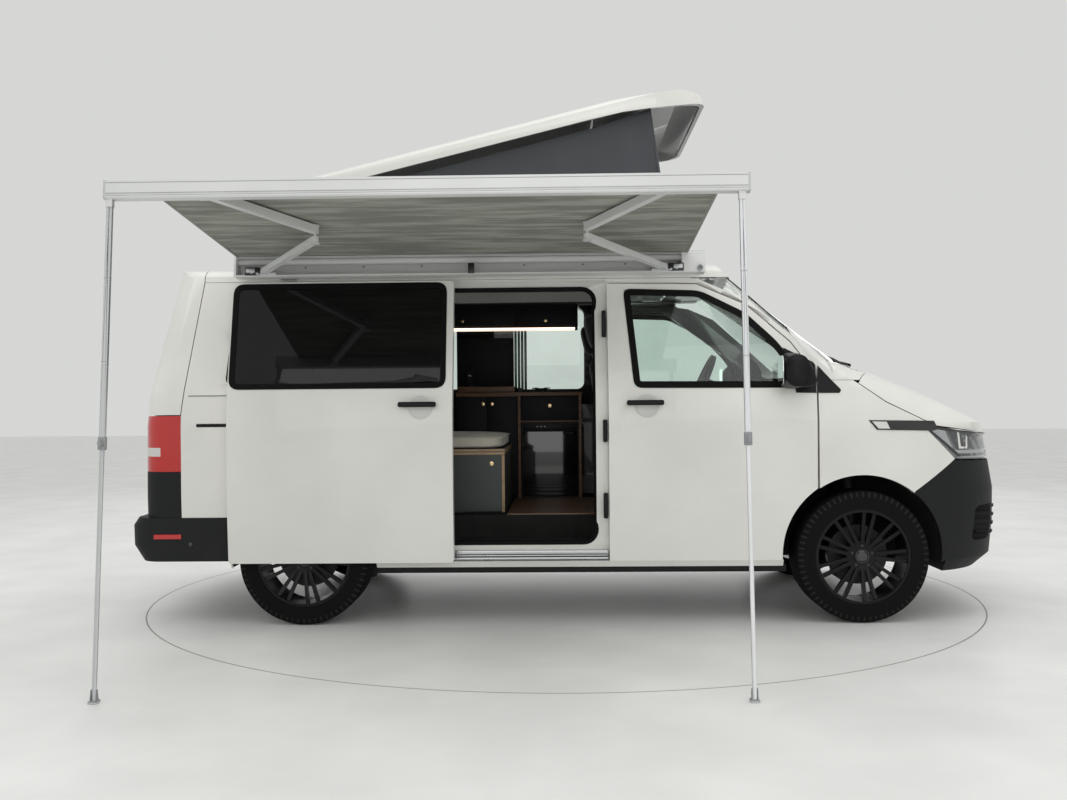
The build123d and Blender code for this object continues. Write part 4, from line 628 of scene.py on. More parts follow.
class Mould:
    """A mesh in the making. Shapes are added with bmesh operators, then cast into an object."""

    def __init__(self) -> None:
        """Starts empty."""
        self.bm = bmesh.new()

    @classmethod
    def of(cls, node: str) -> "Mould":
        """Starts from a CAD node's mesh, with its faces joined at their corners."""
        made = cls()
        made.bm.from_mesh(frame["nodes"][node].data)
        bmesh.ops.remove_doubles(made.bm, verts=made.bm.verts, dist=JOIN_WITHIN)
        return made

    def block(
        self, low: Sequence[float], high: Sequence[float], round_by: float = 0.0, steps: int = 2
    ) -> "Mould":
        """Adds a box between two corners, with its edges rounded."""
        made = bmesh.ops.create_cube(self.bm, size=1.0)["verts"]
        size = Vector(high) - Vector(low)
        middle = (Vector(high) + Vector(low)) / 2
        bmesh.ops.scale(self.bm, vec=size, verts=made)
        bmesh.ops.translate(self.bm, vec=middle, verts=made)
        if round_by:
            self.soften({edge for vert in made for edge in vert.link_edges}, round_by, steps)
        return self

    def rod(
        self,
        start: Sequence[float],
        end: Sequence[float],
        radius: float,
        tip: float | None = None,
        steps: int = 20,
    ) -> "Mould":
        """Adds a round bar or cone between two points."""
        run = Vector(end) - Vector(start)
        turn = run.to_track_quat("Z", "Y").to_matrix().to_4x4()
        bmesh.ops.create_cone(
            self.bm,
            cap_ends=True,
            segments=steps,
            radius1=radius,
            radius2=radius if tip is None else tip,
            depth=run.length,
            matrix=Matrix.Translation((Vector(start) + Vector(end)) / 2) @ turn,
        )
        return self

    def prism(
        self, outline: Outline, near: float, far: float, axis: Axis = Axis.Y, round_by: float = 0.0
    ) -> "Mould":
        """Adds a closed outline drawn out along an axis.

        Args:
            outline: Points on the plane across the axis, in the order of the other two axes.
            near: Where the shape starts along the axis.
            far: Where it ends.
            axis: The axis that it is drawn along.
            round_by: Width of the rounding of its edges.

        Returns:
            The mould.
        """
        def spot(a: float, b: float) -> Point:
            return {Axis.X: (near, a, b), Axis.Y: (a, near, b), Axis.Z: (a, b, near)}[axis]

        face = self.bm.faces.new([self.bm.verts.new(spot(*pair)) for pair in outline])
        drawn = bmesh.ops.extrude_face_region(self.bm, geom=[face])["geom"]
        moved = [item for item in drawn if isinstance(item, bmesh.types.BMVert)]
        step = [0.0, 0.0, 0.0]
        step[axis.value] = far - near
        bmesh.ops.translate(self.bm, vec=step, verts=moved)
        whole = set(face.verts) | set(moved)
        bmesh.ops.recalc_face_normals(self.bm, faces=list({f for vert in whole for f in vert.link_faces}))
        if round_by:
            self.soften({edge for vert in whole for edge in vert.link_edges}, round_by, 2)
        return self

    def lathe(
        self,
        profile: Outline,
        centre: Sequence[float] = (0, 0, 0),
        along: Sequence[float] = (0, 0, 1),
        steps: int = 64,
    ) -> "Mould":
        """Adds a closed ring turned from a closed profile of radius and distance along the axis."""
        verts = [self.bm.verts.new((radius, 0.0, run)) for radius, run in profile]
        edges = [self.bm.edges.new((verts[i], verts[(i + 1) % len(verts)])) for i in range(len(verts))]
        before = set(self.bm.verts) - set(verts)
        bmesh.ops.spin(
            self.bm,
            geom=verts + edges,
            cent=(0, 0, 0),
            axis=(0, 0, 1),
            angle=math.tau,
            steps=steps,
            use_merge=True,
        )
        made = [vert for vert in self.bm.verts if vert not in before]
        bmesh.ops.remove_doubles(self.bm, verts=made, dist=JOIN_WITHIN)
        made = [vert for vert in self.bm.verts if vert not in before]
        bmesh.ops.recalc_face_normals(self.bm, faces=list({f for vert in made for f in vert.link_faces}))
        turn = Vector(along).to_track_quat("Z", "Y").to_matrix().to_4x4()
        bmesh.ops.transform(self.bm, matrix=Matrix.Translation(centre) @ turn, verts=made)
        return self

    def tube(self, path: Sequence[Point], radius: float, steps: int = 12) -> "Mould":
        """Adds a round tube along a list of points."""
        points = [Vector(p) for p in path]
        rings = []
        for index, point in enumerate(points):
            ahead = points[min(index + 1, len(points) - 1)] - points[max(index - 1, 0)]
            turn = ahead.to_track_quat("Z", "Y").to_matrix().to_4x4()
            ring = bmesh.ops.create_circle(
                self.bm,
                cap_ends=index in (0, len(points) - 1),
                radius=radius,
                segments=steps,
                matrix=Matrix.Translation(point) @ turn,
            )["verts"]
            rings.append({edge for vert in ring for edge in vert.link_edges})
        for first, second in zip(rings, rings[1:]):
            bmesh.ops.bridge_loops(self.bm, edges=list(first | second))
        bmesh.ops.recalc_face_normals(self.bm, faces=self.bm.faces)
        return self

    def soften(self, edges: Iterable[bmesh.types.BMEdge], width: float, steps: int = 2) -> None:
        """Rounds the edges given."""
        bmesh.ops.bevel(
            self.bm,
            geom=list(edges),
            offset=width,
            segments=steps,
            profile=0.5,
            affect="EDGES",
            clamp_overlap=True,
            material=-1,
        )

    def divide(self, axis: Axis, longer: float, cuts: int) -> "Mould":
        """Divides the edges that run further than a length along an axis, so that a shape can bend."""
        along = axis.value
        edges = [
            edge for edge in self.bm.edges
            if abs(edge.verts[0].co[along] - edge.verts[1].co[along]) > longer
        ]
        bmesh.ops.subdivide_edges(self.bm, edges=edges, cuts=cuts)
        return self

    def merge(self, other: "Mould") -> "Mould":
        """Adds another mould's mesh and empties the other."""
        mesh = bpy.data.meshes.new("merging")
        other.bm.to_mesh(mesh)
        other.bm.free()
        self.bm.from_mesh(mesh)
        bpy.data.meshes.remove(mesh)
        return self

    def shift(self, matrix: Matrix) -> "Mould":
        """Moves or turns everything made so far."""
        bmesh.ops.transform(self.bm, matrix=matrix, verts=self.bm.verts)
        if matrix.determinant() < 0:
            bmesh.ops.reverse_faces(self.bm, faces=self.bm.faces)
        return self

    def cast(
        self, name: str, finish: Finish, body: str, slot: str = "", smooth: float = 35.0
    ) -> bpy.types.Object:
        """Turns the mesh into an object that rides on a body.

        Args:
            name: The object's name.
            finish: What it is made of.
            body: The body that carries it.
            slot: The record's material slot, where it has one.
            smooth: Edges flatter than this angle, in degrees, are shaded smooth.

        Returns:
            The object.
        """
        mesh = bpy.data.meshes.new(name)
        self.bm.to_mesh(mesh)
        self.bm.free()
        made = bpy.data.objects.new(name, mesh)
        bpy.context.scene.collection.objects.link(made)
        mesh.materials.append(finish.material())
        mesh.polygons.foreach_set("use_smooth", [True] * len(mesh.polygons))
        mesh.set_sharp_from_angle(angle=math.radians(smooth))
        if body:
            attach(made, body)
        log.info("%s: %d faces", made.name, len(mesh.polygons))
        return made


def body_name(node: str) -> str:
    """The body that a CAD node belongs to."""
    bodies = frame["record"]["behaviour"]["bodies"]
    return next(name for name, nodes in bodies.items() if node in nodes)


def reshade(node: str, finish: Finish, edge: float = 0.0, smooth: float = 30.0) -> bpy.types.Object:
    """Shows a CAD node as a merged, smooth copy with fine rounded edges.

    Args:
        node: The CAD node.
        finish: Its finish.
        edge: Width of the rounding of its sharp edges.
        smooth: Edges flatter than this angle, in degrees, are shaded smooth.

    Returns:
        The copy, which stands for the node.
    """
    made = Mould.of(node).cast(f"{node}_shown", finish, body_name(node), smooth=smooth)
    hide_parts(node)
    if edge:
        bevel = made.modifiers.new("edge", "BEVEL")
        bevel.width = edge
        bevel.segments = 2
        bevel.limit_method = "ANGLE"
        bevel.angle_limit = math.radians(smooth)
        bevel.harden_normals = True
    return made


FLIP = Matrix.Scale(-1, 4, (0, 1, 0))
LEAN = Matrix(((1, 0, 0, 0), (0, 1, FLANKS.cabin_slope, -FLANKS.cabin_start), (0, 0, 1, 0), (0, 0, 0, 1)))


def facing(mould: Mould, side: int) -> Mould:
    """The right-hand mould, mirrored where it is for the left side."""
    return mould if side == RIGHT else mould.shift(FLIP)


def both_sides(build: Callable[[], Mould]) -> Iterable[tuple[str, Mould]]:
    """Yields a mould made for the right side, and the same one mirrored for the left.

    Args:
        build: Makes the right-hand mould.

    Yields:
        The side's name and its mould.
    """
    for side, name in SIDE_NAMES.items():
        yield name, facing(build(), side)


def rounded(outline: Outline, corner: float, steps: int = 6) -> list[tuple[float, float]]:
    """The outline with each corner replaced by a short curve.

    Args:
        outline: Points on the XZ plane.
        corner: How far from each corner its curve starts.
        steps: Number of pieces in each curve.

    Returns:
        The rounded outline.
    """
    points = [Vector(point) for point in outline]
    made = []
    for before, here, after in zip(points[-1:] + points[:-1], points, points[1:] + points[:1]):
        start = here + (before - here).normalized() * min(corner, 0.45 * (before - here).length)
        end = here + (after - here).normalized() * min(corner, 0.45 * (after - here).length)
        for step in range(steps + 1):
            at = step / steps
            made.append(tuple((1 - at) ** 2 * start + 2 * at * (1 - at) * here + at**2 * end))
    return made


def inset(outline: Outline, width: float) -> list[tuple[float, float]]:
    """The outline moved in by an even distance.

    Args:
        outline: Points on the XZ plane.
        width: The distance; negative moves it out.

    Returns:
        The smaller outline, point for point.
    """
    points = [Vector(point) for point in outline]
    area = sum(a.x * b.y - b.x * a.y for a, b in zip(points, points[1:] + points[:1]))
    turn = 1 if area > 0 else -1
    made = []
    for before, here, after in zip(points[-1:] + points[:-1], points, points[1:] + points[:1]):
        first, second = (here - before).normalized(), (after - here).normalized()
        inward = Vector((-first.y - second.y, first.x + second.x)) * turn
        if inward.length < 1e-9:
            inward = Vector((-second.y, second.x)) * turn
        inward.normalize()
        spread = max(0.35, inward.dot(Vector((-second.y, second.x)) * turn))
        made.append(tuple(here + inward * width / spread))
    return made


def band(outline: Outline, width: float, near: float, far: float, corner: float) -> Mould:
    """A flat band that follows a closed outline on the XZ plane.

    Args:
        outline: The band's outer edge.
        width: How wide the band is.
        near: Its inner face along Y.
        far: Its outer face along Y.
        corner: Rounding of the outline's corners.

    Returns:
        The band.
    """
    made = Mould()
    bm = made.bm
    outer = rounded(outline, corner)
    inner = inset(outer, width)
    loops = [
        [bm.verts.new((x, y, z)) for x, z in points]
        for points, y in ((outer, near), (inner, near), (inner, far), (outer, far))
    ]
    fresh = []
    for first, second in zip(loops, loops[1:] + loops[:1]):
        for index, vert in enumerate(first):
            following = (index + 1) % len(first)
            fresh.append(bm.faces.new((vert, first[following], second[following], second[index])))
    bmesh.ops.recalc_face_normals(bm, faces=fresh)
    return made


# how far out the rays that find a surface start
PRESS_FROM = 5.0
# where a point that misses its surface looks for the nearest edge, as a share of the way it comes
PRESS_REACH = {Axis.X: 0.48, Axis.Y: 0.19, Axis.Z: 0.26}


def press(mould: Mould, node: str, along: Axis, sign: int) -> Mould:
    """Lays a flat shape on a CAD surface, keeping its own thickness.

    Args:
        mould: A shape around zero along the axis.
        node: The CAD node that it lies on.
        along: The axis that it is pressed along.
        sign: +1 where the outside is towards the axis's high end, else -1.

    Returns:
        The mould.
    """
    bm = bmesh.new()
    bm.from_mesh(frame["nodes"][node].data)
    tree = BVHTree.FromBMesh(bm)
    index = along.value
    inward = Vector((0, 0, 0))
    inward[index] = -sign
    for vert in mould.bm.verts:
        height = vert.co[index]
        start = vert.co.copy()
        start[index] = PRESS_FROM * sign
        spot = tree.ray_cast(start, inward)[0]
        if spot is None:
            start[index] *= PRESS_REACH[along]
            spot = tree.find_nearest(start)[0]
        vert.co[index] = spot[index] + height
    bm.free()
    return mould


def patch(across: int, up: int, place: Callable[[float, float], Sequence[float]]) -> Mould:
    """A grid whose every point is placed by a rule of two numbers from 0 to 1.

    Args:
        across: Number of cells along the first number.
        up: Number of cells along the second.
        place: The rule.

    Returns:
        The grid.
    """
    made = Mould()
    bmesh.ops.create_grid(made.bm, x_segments=across, y_segments=up, size=0.5)
    for vert in made.bm.verts:
        vert.co = Vector(place(vert.co.x + 0.5, vert.co.y + 0.5))
    return made


@dataclass
class Shell:
    """Painted panels, glass, bumpers and the structure beneath, as the CAD has them."""

    fine_edge: float = 0.0012
    blind: tuple[float, float, float, float] = (-0.83, -0.43, 1.27, 1.78)

    def build(self) -> None:
        """Gives every panel of the shell its finish."""
        for finish, edge, nodes in (
            (SIDE_PAINT, 0.0, ("body_side_right", "body_side_left")),
            (PAINT, 0.0, ("sliding_door", "front_door_right", "front_door_left")),
            (ROOF_PAINT, 0.0, ("roof_panel", "bonnet")),
            (OUTER_PAINT, 0.0, ("front_wings",)),
            (TAIL_PAINT, 0.0, ("tailgate",)),
            (BUMPER, 0.0, ("front_bumper", "rear_bumper")),
            (GLOSS_BLACK, self.fine_edge, ("grille",)),
            (UNDERSIDE, 0.0, ("chassis",)),
            (LINER, 0.0, ("arch_liners",)),
            (CASTING, 0.0, ("rear_axle",)),
            (CASTING, self.fine_edge, ("engine_block",)),
        ):
            for node in nodes:
                reshade(node, finish, edge)
        self.glaze()

    def glaze(self) -> None:
        """Gives the windows their tints: clear on the kitchen's side, privacy glass elsewhere."""
        glass = reshade("side_glass", DARK_GLASS)
        glass.data.materials.append(CLEAR_GLASS.material())
        for face in glass.data.polygons:
            if face.center.y > 0 and face.center.x > -1.0:
                face.material_index = 1
        reshade("windscreen", SCREEN_GLASS)
        reshade("tailgate_glass", DARK_GLASS)
        for side in SIDE_NAMES.values():
            reshade(f"front_door_glass_{side}", CLEAR_GLASS)
        x_low, x_high, z_low, z_high = self.blind
        blind = Mould().block((x_low, 0.842, z_low), (x_high, 0.85, z_high), 0.002)
        blind.cast("window_blind", CHARCOAL, "body")
        green = Mould()
        for index in range(4):
            start = x_high + 0.004 + 0.023 * index
            green.block((start, 0.836, z_low), (start + 0.018, 0.842, z_high), 0.002)
        green.cast("window_edge_strips", GREEN_STRIP, "body")


@dataclass
class SideDoors:
    """Handles, seals, mirrors and the slide rail of the right and left sides."""

    front_window: Outline = (
        (0.242, 1.806), (0.292, 1.268), (1.165, 1.262), (1.108, 1.440),
        (1.052, 1.515), (0.895, 1.668), (0.655, 1.792),
    )
    sliding_window: Outline = ((-1.870, 1.283), (-0.730, 1.283), (-0.730, 1.837), (-1.870, 1.837))
    handle_height: float = 1.185
    front_handle: tuple[float, float] = (0.244, 0.442)
    sliding_handle: tuple[float, float] = (-0.966, -0.764)
    doorway: tuple[float, float, float, float] = (-0.961, 0.083, 0.430, 1.817)
    stops: tuple[tuple[float, float], ...] = ((1.545, 1.69), (0.975, 1.095), (0.565, 0.70))
    rail: tuple[float, float] = (-0.93, 0.142)
    # Height of the pressed line, whose shade is painted as a thin black strip.
    crease_shade_height: float = 1.241

    def build(self) -> None:
        """Builds the fittings of both sides."""
        front_skin = -FLANKS.widest
        sliding_skin = front_skin + SLIDE_BACK.y
        for build, label, finish, slot in (
            (
                lambda: self.handle(self.front_handle, front_skin),
                "front_handle", SATIN_BLACK, "black_plastic",
            ),
            # The handle cup is painted shade: a greyer disc for the hollow behind the handle.
            (lambda: self.cup(self.front_handle, front_skin), "front_handle_cup_shade", HANDLE_CUP_SHADE, "body_paint"),
            (self.front_seal, "front_window_seal", SEAL, "black_plastic"),
        ):
            for name, mould in both_sides(build):
                mould.cast(f"{label}_{name}", finish, f"door_{name}", slot)
        for mould, label, finish, slot in (
            (self.handle(self.sliding_handle, sliding_skin), "sliding_handle", SATIN_BLACK, "black_plastic"),
            # The handle cup is painted shade: a greyer disc for the hollow behind the handle.
            (self.cup(self.sliding_handle, sliding_skin), "sliding_handle_cup_shade", HANDLE_CUP_SHADE, "body_paint"),
            (self.sliding_seal(), "sliding_window_seal", SEAL, "black_plastic"),
            (self.doorway_seal(), "doorway_seal", SEAL, "black_plastic"),
            (self.door_stops(), "doorway_stops", SATIN_BLACK, "black_plastic"),
            (self.slide_rail(), "slide_rail", RAIL_STEEL, "steel"),
            # The slot, and a black strip of painted shade for the pressed line above it.
            (self.quarter_slot_and_crease_shade(), "quarter_slot_and_crease_shade", SATIN_BLACK, "black_plastic"),
            (self.sills(), "sill_strips", SATIN_BLACK, "black_plastic"),
        ):
            mould.cast(label, finish, "body", slot)
        for side in SIDE_NAMES:
            self.mirror(side)

    def handle(self, ends: tuple[float, float], skin: float) -> Mould:
        """A bar handle that stands off the door skin on two feet."""
        start, end = ends
        z = self.handle_height
        made = Mould().block((start, skin - 0.052, z - 0.014), (end, skin - 0.028, z + 0.014), 0.010, 4)
        for foot in (start + 0.022, end - 0.022):
            low, high = (foot - 0.018, skin - 0.034, z - 0.011), (foot + 0.018, skin - 0.0002, z + 0.011)
            made.block(low, high, 0.005, 3)
        made.rod((end - 0.017, skin - 0.050, z), (end - 0.017, skin - 0.054, z), 0.006)
        return made

    def cup(self, ends: tuple[float, float], skin: float) -> Mould:
        """A thin disc of greyer paint on the skin behind a handle: painted shade that stands for the round
        hollow there.
        """
        profile = (
            (0.0, 0.0002), (0.040, 0.0002), (0.058, 0.0015), (0.062, 0.0), (0.062, -0.001), (0.0, -0.001)
        )
        centre = (sum(ends) / 2 + 0.012, skin, self.handle_height - 0.018)
        return Mould().lathe(profile, centre, (0, -1, 0), 48)

    def front_seal(self) -> Mould:
        """Rubber round the front door's window."""
        return band(inset(self.front_window, -0.004), 0.036, 0.004, -0.0035, 0.045).shift(LEAN)

    def sliding_seal(self) -> Mould:
        """Rubber round the sliding door's window."""
        made = band(inset(self.sliding_window, -0.012), 0.030, 0.004, -0.0035, 0.06).shift(LEAN)
        return made.shift(Matrix.Translation((0, SLIDE_BACK.y, 0)))

    def doorway_seal(self) -> Mould:
        """The thick rubber bead round the sliding door's doorway, on the inner frame."""
        x_low, x_high, z_low, z_high = self.doorway
        corner, steps = 0.07, 6
        middles = (
            (x_high - corner, z_low + corner, -90),
            (x_high - corner, z_high - corner, 0),
            (x_low + corner, z_high - corner, 90),
            (x_low + corner, z_low + corner, 180),
        )
        path = []
        for x, z, start in middles:
            for step in range(steps + 1):
                turn = math.radians(start + 90 * step / steps)
                height = z + corner * math.sin(turn)
                path.append((x + corner * math.cos(turn), -FLANKS.half(height) + 0.066, height))
        path.append(path[0])
        return Mould().tube(path, 0.0135, 10)

    def door_stops(self) -> Mould:
        """Black caps on the pillar in front of the doorway."""
        made = Mould()
        for low, high in self.stops:
            skin = -FLANKS.half((low + high) / 2)
            made.block((0.120, skin + 0.012, low), (0.142, skin + 0.062, high), 0.005, 3)
            made.block((0.124, skin + 0.004, low + 0.02), (0.138, skin + 0.014, high - 0.02), 0.004, 2)
        return made

    def slide_rail(self) -> Mould:
        """The bright lower rail that the sliding door's rollers run in."""
        start, end = self.rail
        made = Mould()
        for low, high, out in ((0.345, 0.356, 0.052), (0.362, 0.368, 0.040), (0.374, 0.392, 0.046)):
            skin = -FLANKS.half(low)
            made.block((start, skin + 0.064 - out, low), (end, skin + 0.064, high), 0.0015)
        made.block((start, -0.860, 0.348), (end, -0.856, 0.390), 0.001)
        return made

    def quarter_slot_and_crease_shade(self) -> Mould:
        """The upper slide's slot in the rear quarter, and above it a thin black strip that stands for the
        shade in the pressed line: painted shade.
        """
        made = Mould().block((-2.073, -0.9545, 1.072), (-0.985, -0.949, 1.090), 0.002)
        made.block((-2.073, -0.956, 1.072), (-2.05, -0.949, 1.090), 0.003)
        # Painted shade: a 3 mm black strip stands for the shade in the panel's pressed line.
        z = self.crease_shade_height
        skin = -FLANKS.half(z)
        made.block((-2.12, skin - 0.0012, z - 0.0015), (-0.985, skin + 0.003, z + 0.0015))
        return made

    def sills(self) -> Mould:
        """Dark strips under both sills."""
        made = Mould()
        for side in (RIGHT, LEFT):
            inner, outer = sorted((side * 0.800, side * 0.884))
            made.block((-1.10, inner, 0.270), (1.10, outer, 0.307), 0.004)
        return made

    @staticmethod
    def sail(outline: Outline, node: str) -> Mould:
        """A black plate laid on a right-hand panel."""
        return press(tiled(outline, 0.003, -0.004), node.replace("left", "right"), Axis.Y, RIGHT)

    def mirror(self, side: int) -> None:
        """Dresses a door mirror, with its glass, its fairing and the black triangle it stands on."""
        name = SIDE_NAMES[side]
        reshade(f"mirror_{name}", SATIN_BLACK, smooth=50)
        door_sail = ((1.092, 1.476), (1.245, 1.396), (1.257, 1.380), (1.257, 1.229), (1.150, 1.231))
        wing_sail = ((1.2665, 1.376), (1.384, 1.250), (1.387, 1.240), (1.378, 1.228), (1.2665, 1.229))
        sail = self.sail(door_sail, f"front_door_{name}")
        shoulder = (
            (1.150, 1.425), (1.190, 1.404), (1.222, 1.345), (1.238, 1.292), (1.228, 1.270),
            (1.195, 1.260), (1.150, 1.258),
        )
        fairing = Mould().prism(shoulder, -0.940, -1.060, round_by=0.014)
        triangle = facing(self.sail(wing_sail, "front_wings"), side)
        triangle.cast(f"wing_sail_{name}", SATIN_BLACK, "body", "black_plastic")
        glass = Mould().block((1.0445, -1.122, 1.272), (1.0475, -0.978, 1.424))
        across = [edge for edge in glass.bm.edges if abs(edge.verts[0].co.x - edge.verts[1].co.x) > 1e-6]
        glass.soften(across, 0.03, 6)
        for mould, label, finish in (
            (sail, "sail", SATIN_BLACK), (fairing, "fairing", SATIN_BLACK), (glass, "glass", MIRROR)
        ):
            facing(mould, side).cast(f"mirror_{label}_{name}", finish, f"door_{name}")


def tiled(outline: Outline, near: float, far: float) -> Mould:
    """A thin plate on the XZ plane, divided finely enough to be bent over a curved panel.

    Args:
        outline: The plate's edge.
        near: Its inner face along Y.
        far: Its outer face along Y.

    Returns:
        The plate.
    """
    made = Mould().prism(outline, near, far)
    bmesh.ops.triangulate(made.bm, faces=made.bm.faces)
    for _ in range(2):
        long_edges = [edge for edge in made.bm.edges if edge.calc_length() > 0.03]
        bmesh.ops.subdivide_edges(made.bm, edges=long_edges, cuts=1, use_grid_fill=True)
        bmesh.ops.triangulate(made.bm, faces=made.bm.faces)
    return made


@dataclass
class FrontEnd:
    """Headlamps, grille, lower intakes, corner vents, side strip and wipers."""

    strip: Outline = ((1.528, 1.082), (1.875, 1.076), (1.900, 1.030), (1.868, 1.023), (1.572, 1.030))
    strip_lens: Outline = ((1.546, 1.075), (1.622, 1.073), (1.640, 1.036), (1.580, 1.037))
    lamp_pieces: tuple[tuple[str, Outline, Finish], ...] = (
        (
            "bezel", ((1.950, 1.028), (2.012, 0.918), (2.235, 0.916), (2.258, 0.985), (2.185, 1.004)),
            LAMP_DARK,
        ),
        ("hook", (
            (2.016, 1.012), (2.029, 1.012), (2.037, 0.936), (2.070, 0.934), (2.076, 1.006), (2.087, 1.004),
            (2.081, 0.923), (2.024, 0.925),
        ), WHITE_LENS),
        ("foot", ((2.022, 0.899), (2.240, 0.895), (2.240, 0.884), (2.034, 0.884)), LAMP_DARK),
        (
            "edge", ((1.822, 1.043), (1.839, 1.043), (2.030, 0.891), (2.024, 0.880), (2.012, 0.884)),
            GLOSS_BLACK,
        ),
        ("brow", (
            (1.850, 1.032), (1.890, 1.044), (2.010, 1.026), (2.160, 1.010), (2.200, 1.005), (2.200, 0.995),
            (2.160, 0.999), (2.010, 1.013), (1.890, 1.030),
        ), GLOSS_BLACK),
    )
    lamp_depth: float = 0.010

    def build(self) -> None:
        """Builds both front corners and the middle."""
        self.headlamps()
        for side in SIDE_NAMES:
            self.side_strip(side)
        slats = self.bars("grille", (0.892, 0.922, 0.952, 0.982), ((-0.47, 0.47),), 0.004, 0.008, 15)
        slats.cast("grille_bars", GLOSS_BLACK, "body", "gloss_black")
        lines = self.bars("grille", (0.872, 0.996), ((-0.49, 0.49),), 0.004, 0.011, 15)
        lines.cast("grille_bright_lines", BRIGHT, "body", "steel")
        spans = ((-0.66, -0.58), (-0.50, 0.50), (0.58, 0.66))
        intake = self.bars("front_bumper", (0.452, 0.500, 0.548, 0.596), spans, 0.007, 0.010, 9, 0.003)
        intake.cast("front_intake", SATIN_BLACK, "body", "black_plastic")
        for name, vent in both_sides(self.corner_vent):
            vent.cast(f"corner_vent_{name}", BUMPER, "body", "black_plastic")
        self.wipers()

    def headlamps(self) -> None:
        """A clear lens over a bright inner shape, with dark, pale and black pieces laid on the lens."""
        reshade("headlamps", LENS, smooth=40)
        inner = Mould.of("headlamps")
        inner.bm.normal_update()
        for vert in inner.bm.verts:
            vert.co -= vert.normal * self.lamp_depth
        inner.cast("headlamp_inners", LAMP_CHROME, "body", "steel")
        for label, outline, finish in self.lamp_pieces:
            for name, piece in both_sides(lambda outline=outline: self.lamp_piece(outline)):
                piece.cast(f"headlamp_{label}_{name}", finish, "body", "lamp_lens")

    @staticmethod
    def lamp_piece(outline: Outline) -> Mould:
        """A thin shape laid on the right headlamp."""
        return press(tiled(outline, 0.001, -0.0012), "headlamps", Axis.Y, RIGHT)

    def side_strip(self, side: int) -> None:
        """The black strip between the door and the headlamp, with its clear rear lens."""
        name = SIDE_NAMES[side]
        for label, outline, out, finish in (
            ("", self.strip, -0.004, GLOSS_BLACK),
            ("_lens", self.strip_lens, -0.006, WHITE_LENS),
        ):
            piece = facing(press(tiled(outline, 0.002, out), "front_wings", Axis.Y, RIGHT), side)
            piece.cast(f"side_strip{label}_{name}", finish, "body", "gloss_black")

    @staticmethod
    def bars(
        node: str,
        heights: Sequence[float],
        spans: Sequence[tuple[float, float]],
        half: float,
        out: float,
        cuts: int,
        round_by: float = 0.002,
    ) -> Mould:
        """Level bars laid on the nose.

        Args:
            node: The CAD node that they are laid on.
            heights: Height of each bar's middle.
            spans: Where the bars at each height start and end across the van.
            half: Half of a bar's height.
            out: How far a bar stands out.
            cuts: Number of places where a long bar bends.
            round_by: Width of the rounding of its edges.

        Returns:
            The bars.
        """
        made = Mould()
        for height in heights:
            for start, end in spans:
                bar = Mould().block((-0.002, start, height - half), (out, end, height + half), round_by)
                made.merge(press(bar.divide(Axis.Y, 0.2, cuts), node, Axis.X, 1))
        return made

    @staticmethod
    def corner_vent() -> Mould:
        """Slats across the right outer vent of the front bumper."""
        made = Mould()
        for low, high, start, end in (
            (0.594, 0.612, 2.172, 2.275),
            (0.548, 0.572, 2.170, 2.275),
            (0.502, 0.527, 2.170, 2.270),
            (0.452, 0.466, 2.176, 2.262),
        ):
            slat = Mould().block((start, -0.012, low), (end, 0.002, high), 0.003).divide(Axis.X, 0.05, 7)
            made.merge(press(slat, "front_bumper", Axis.Y, RIGHT))
        return made

    def wipers(self) -> None:
        """Two wipers parked at the foot of the windscreen."""
        made = Mould()
        x = 1.50
        for pivot, tip in ((-0.05, -0.70), (0.62, -0.02)):
            blade = Mould().block((x - 0.006, tip, 0.004), (x + 0.006, pivot, 0.020), 0.003)
            made.merge(press(blade.divide(Axis.Y, 0.3, 11), "windscreen", Axis.Z, 1))
        made.cast("wipers", SATIN_BLACK, "body", "black_plastic")


@dataclass
class RearEnd:
    """Tail lamps, reflectors, sensors, tailgate handle, blank plate and wiper."""

    reflector: tuple[float, float, float] = (-2.236, 0.481, 0.15)
    sensor: tuple[float, float] = (-2.112, 0.440)

    def build(self) -> None:
        """Builds the rear details."""
        reshade("tail_lamps", TAIL_LAMP, 0.0012)
        for name, mould in both_sides(self.reflector_piece):
            mould.cast(f"rear_reflector_{name}", RED_LENS, "body", "lamp_red")
        for name, mould in both_sides(self.sensor_piece):
            mould.cast(f"rear_sensor_{name}", GLOSS_BLACK, "body", "black_plastic")
        self.tailgate_fittings()

    def reflector_piece(self) -> Mould:
        """One reflector, laid on the rear bumper's corner."""
        x, z, length = self.reflector
        made = Mould().block((x - length / 2, -0.006, z - 0.013), (x + length / 2, 0.002, z + 0.013), 0.003)
        return press(made.divide(Axis.X, 0.05, 12), "rear_bumper", Axis.Y, RIGHT)

    def sensor_piece(self) -> Mould:
        """One round sensor in the rear bumper's corner."""
        x, z = self.sensor
        made = Mould().rod((x, 0.002, z), (x, -0.003, z), 0.011)
        return press(made, "rear_bumper", Axis.Y, RIGHT)

    @staticmethod
    def tailgate_fittings() -> None:
        """A blank plate, the dark handle strip above it and the wiper."""
        plate = Mould().block((-0.006, -0.26, 0.79), (0.001, 0.26, 0.90), 0.003)
        grip = Mould().block((-0.022, -0.30, 0.925), (0.001, 0.30, 0.965), 0.008, 3)
        wiper = Mould().block((-0.022, -0.05, 1.335), (-0.004, 0.46, 1.352), 0.004)
        for mould, node, label, finish, slot in (
            (plate, "tailgate", "rear_plate", PLATE, ""),
            (grip, "tailgate", "tailgate_handle", SATIN_BLACK, "black_plastic"),
            (wiper, "tailgate_glass", "tailgate_wiper", SATIN_BLACK, "black_plastic"),
        ):
            press(mould, node, Axis.X, -1).cast(label, finish, "tailgate", slot)


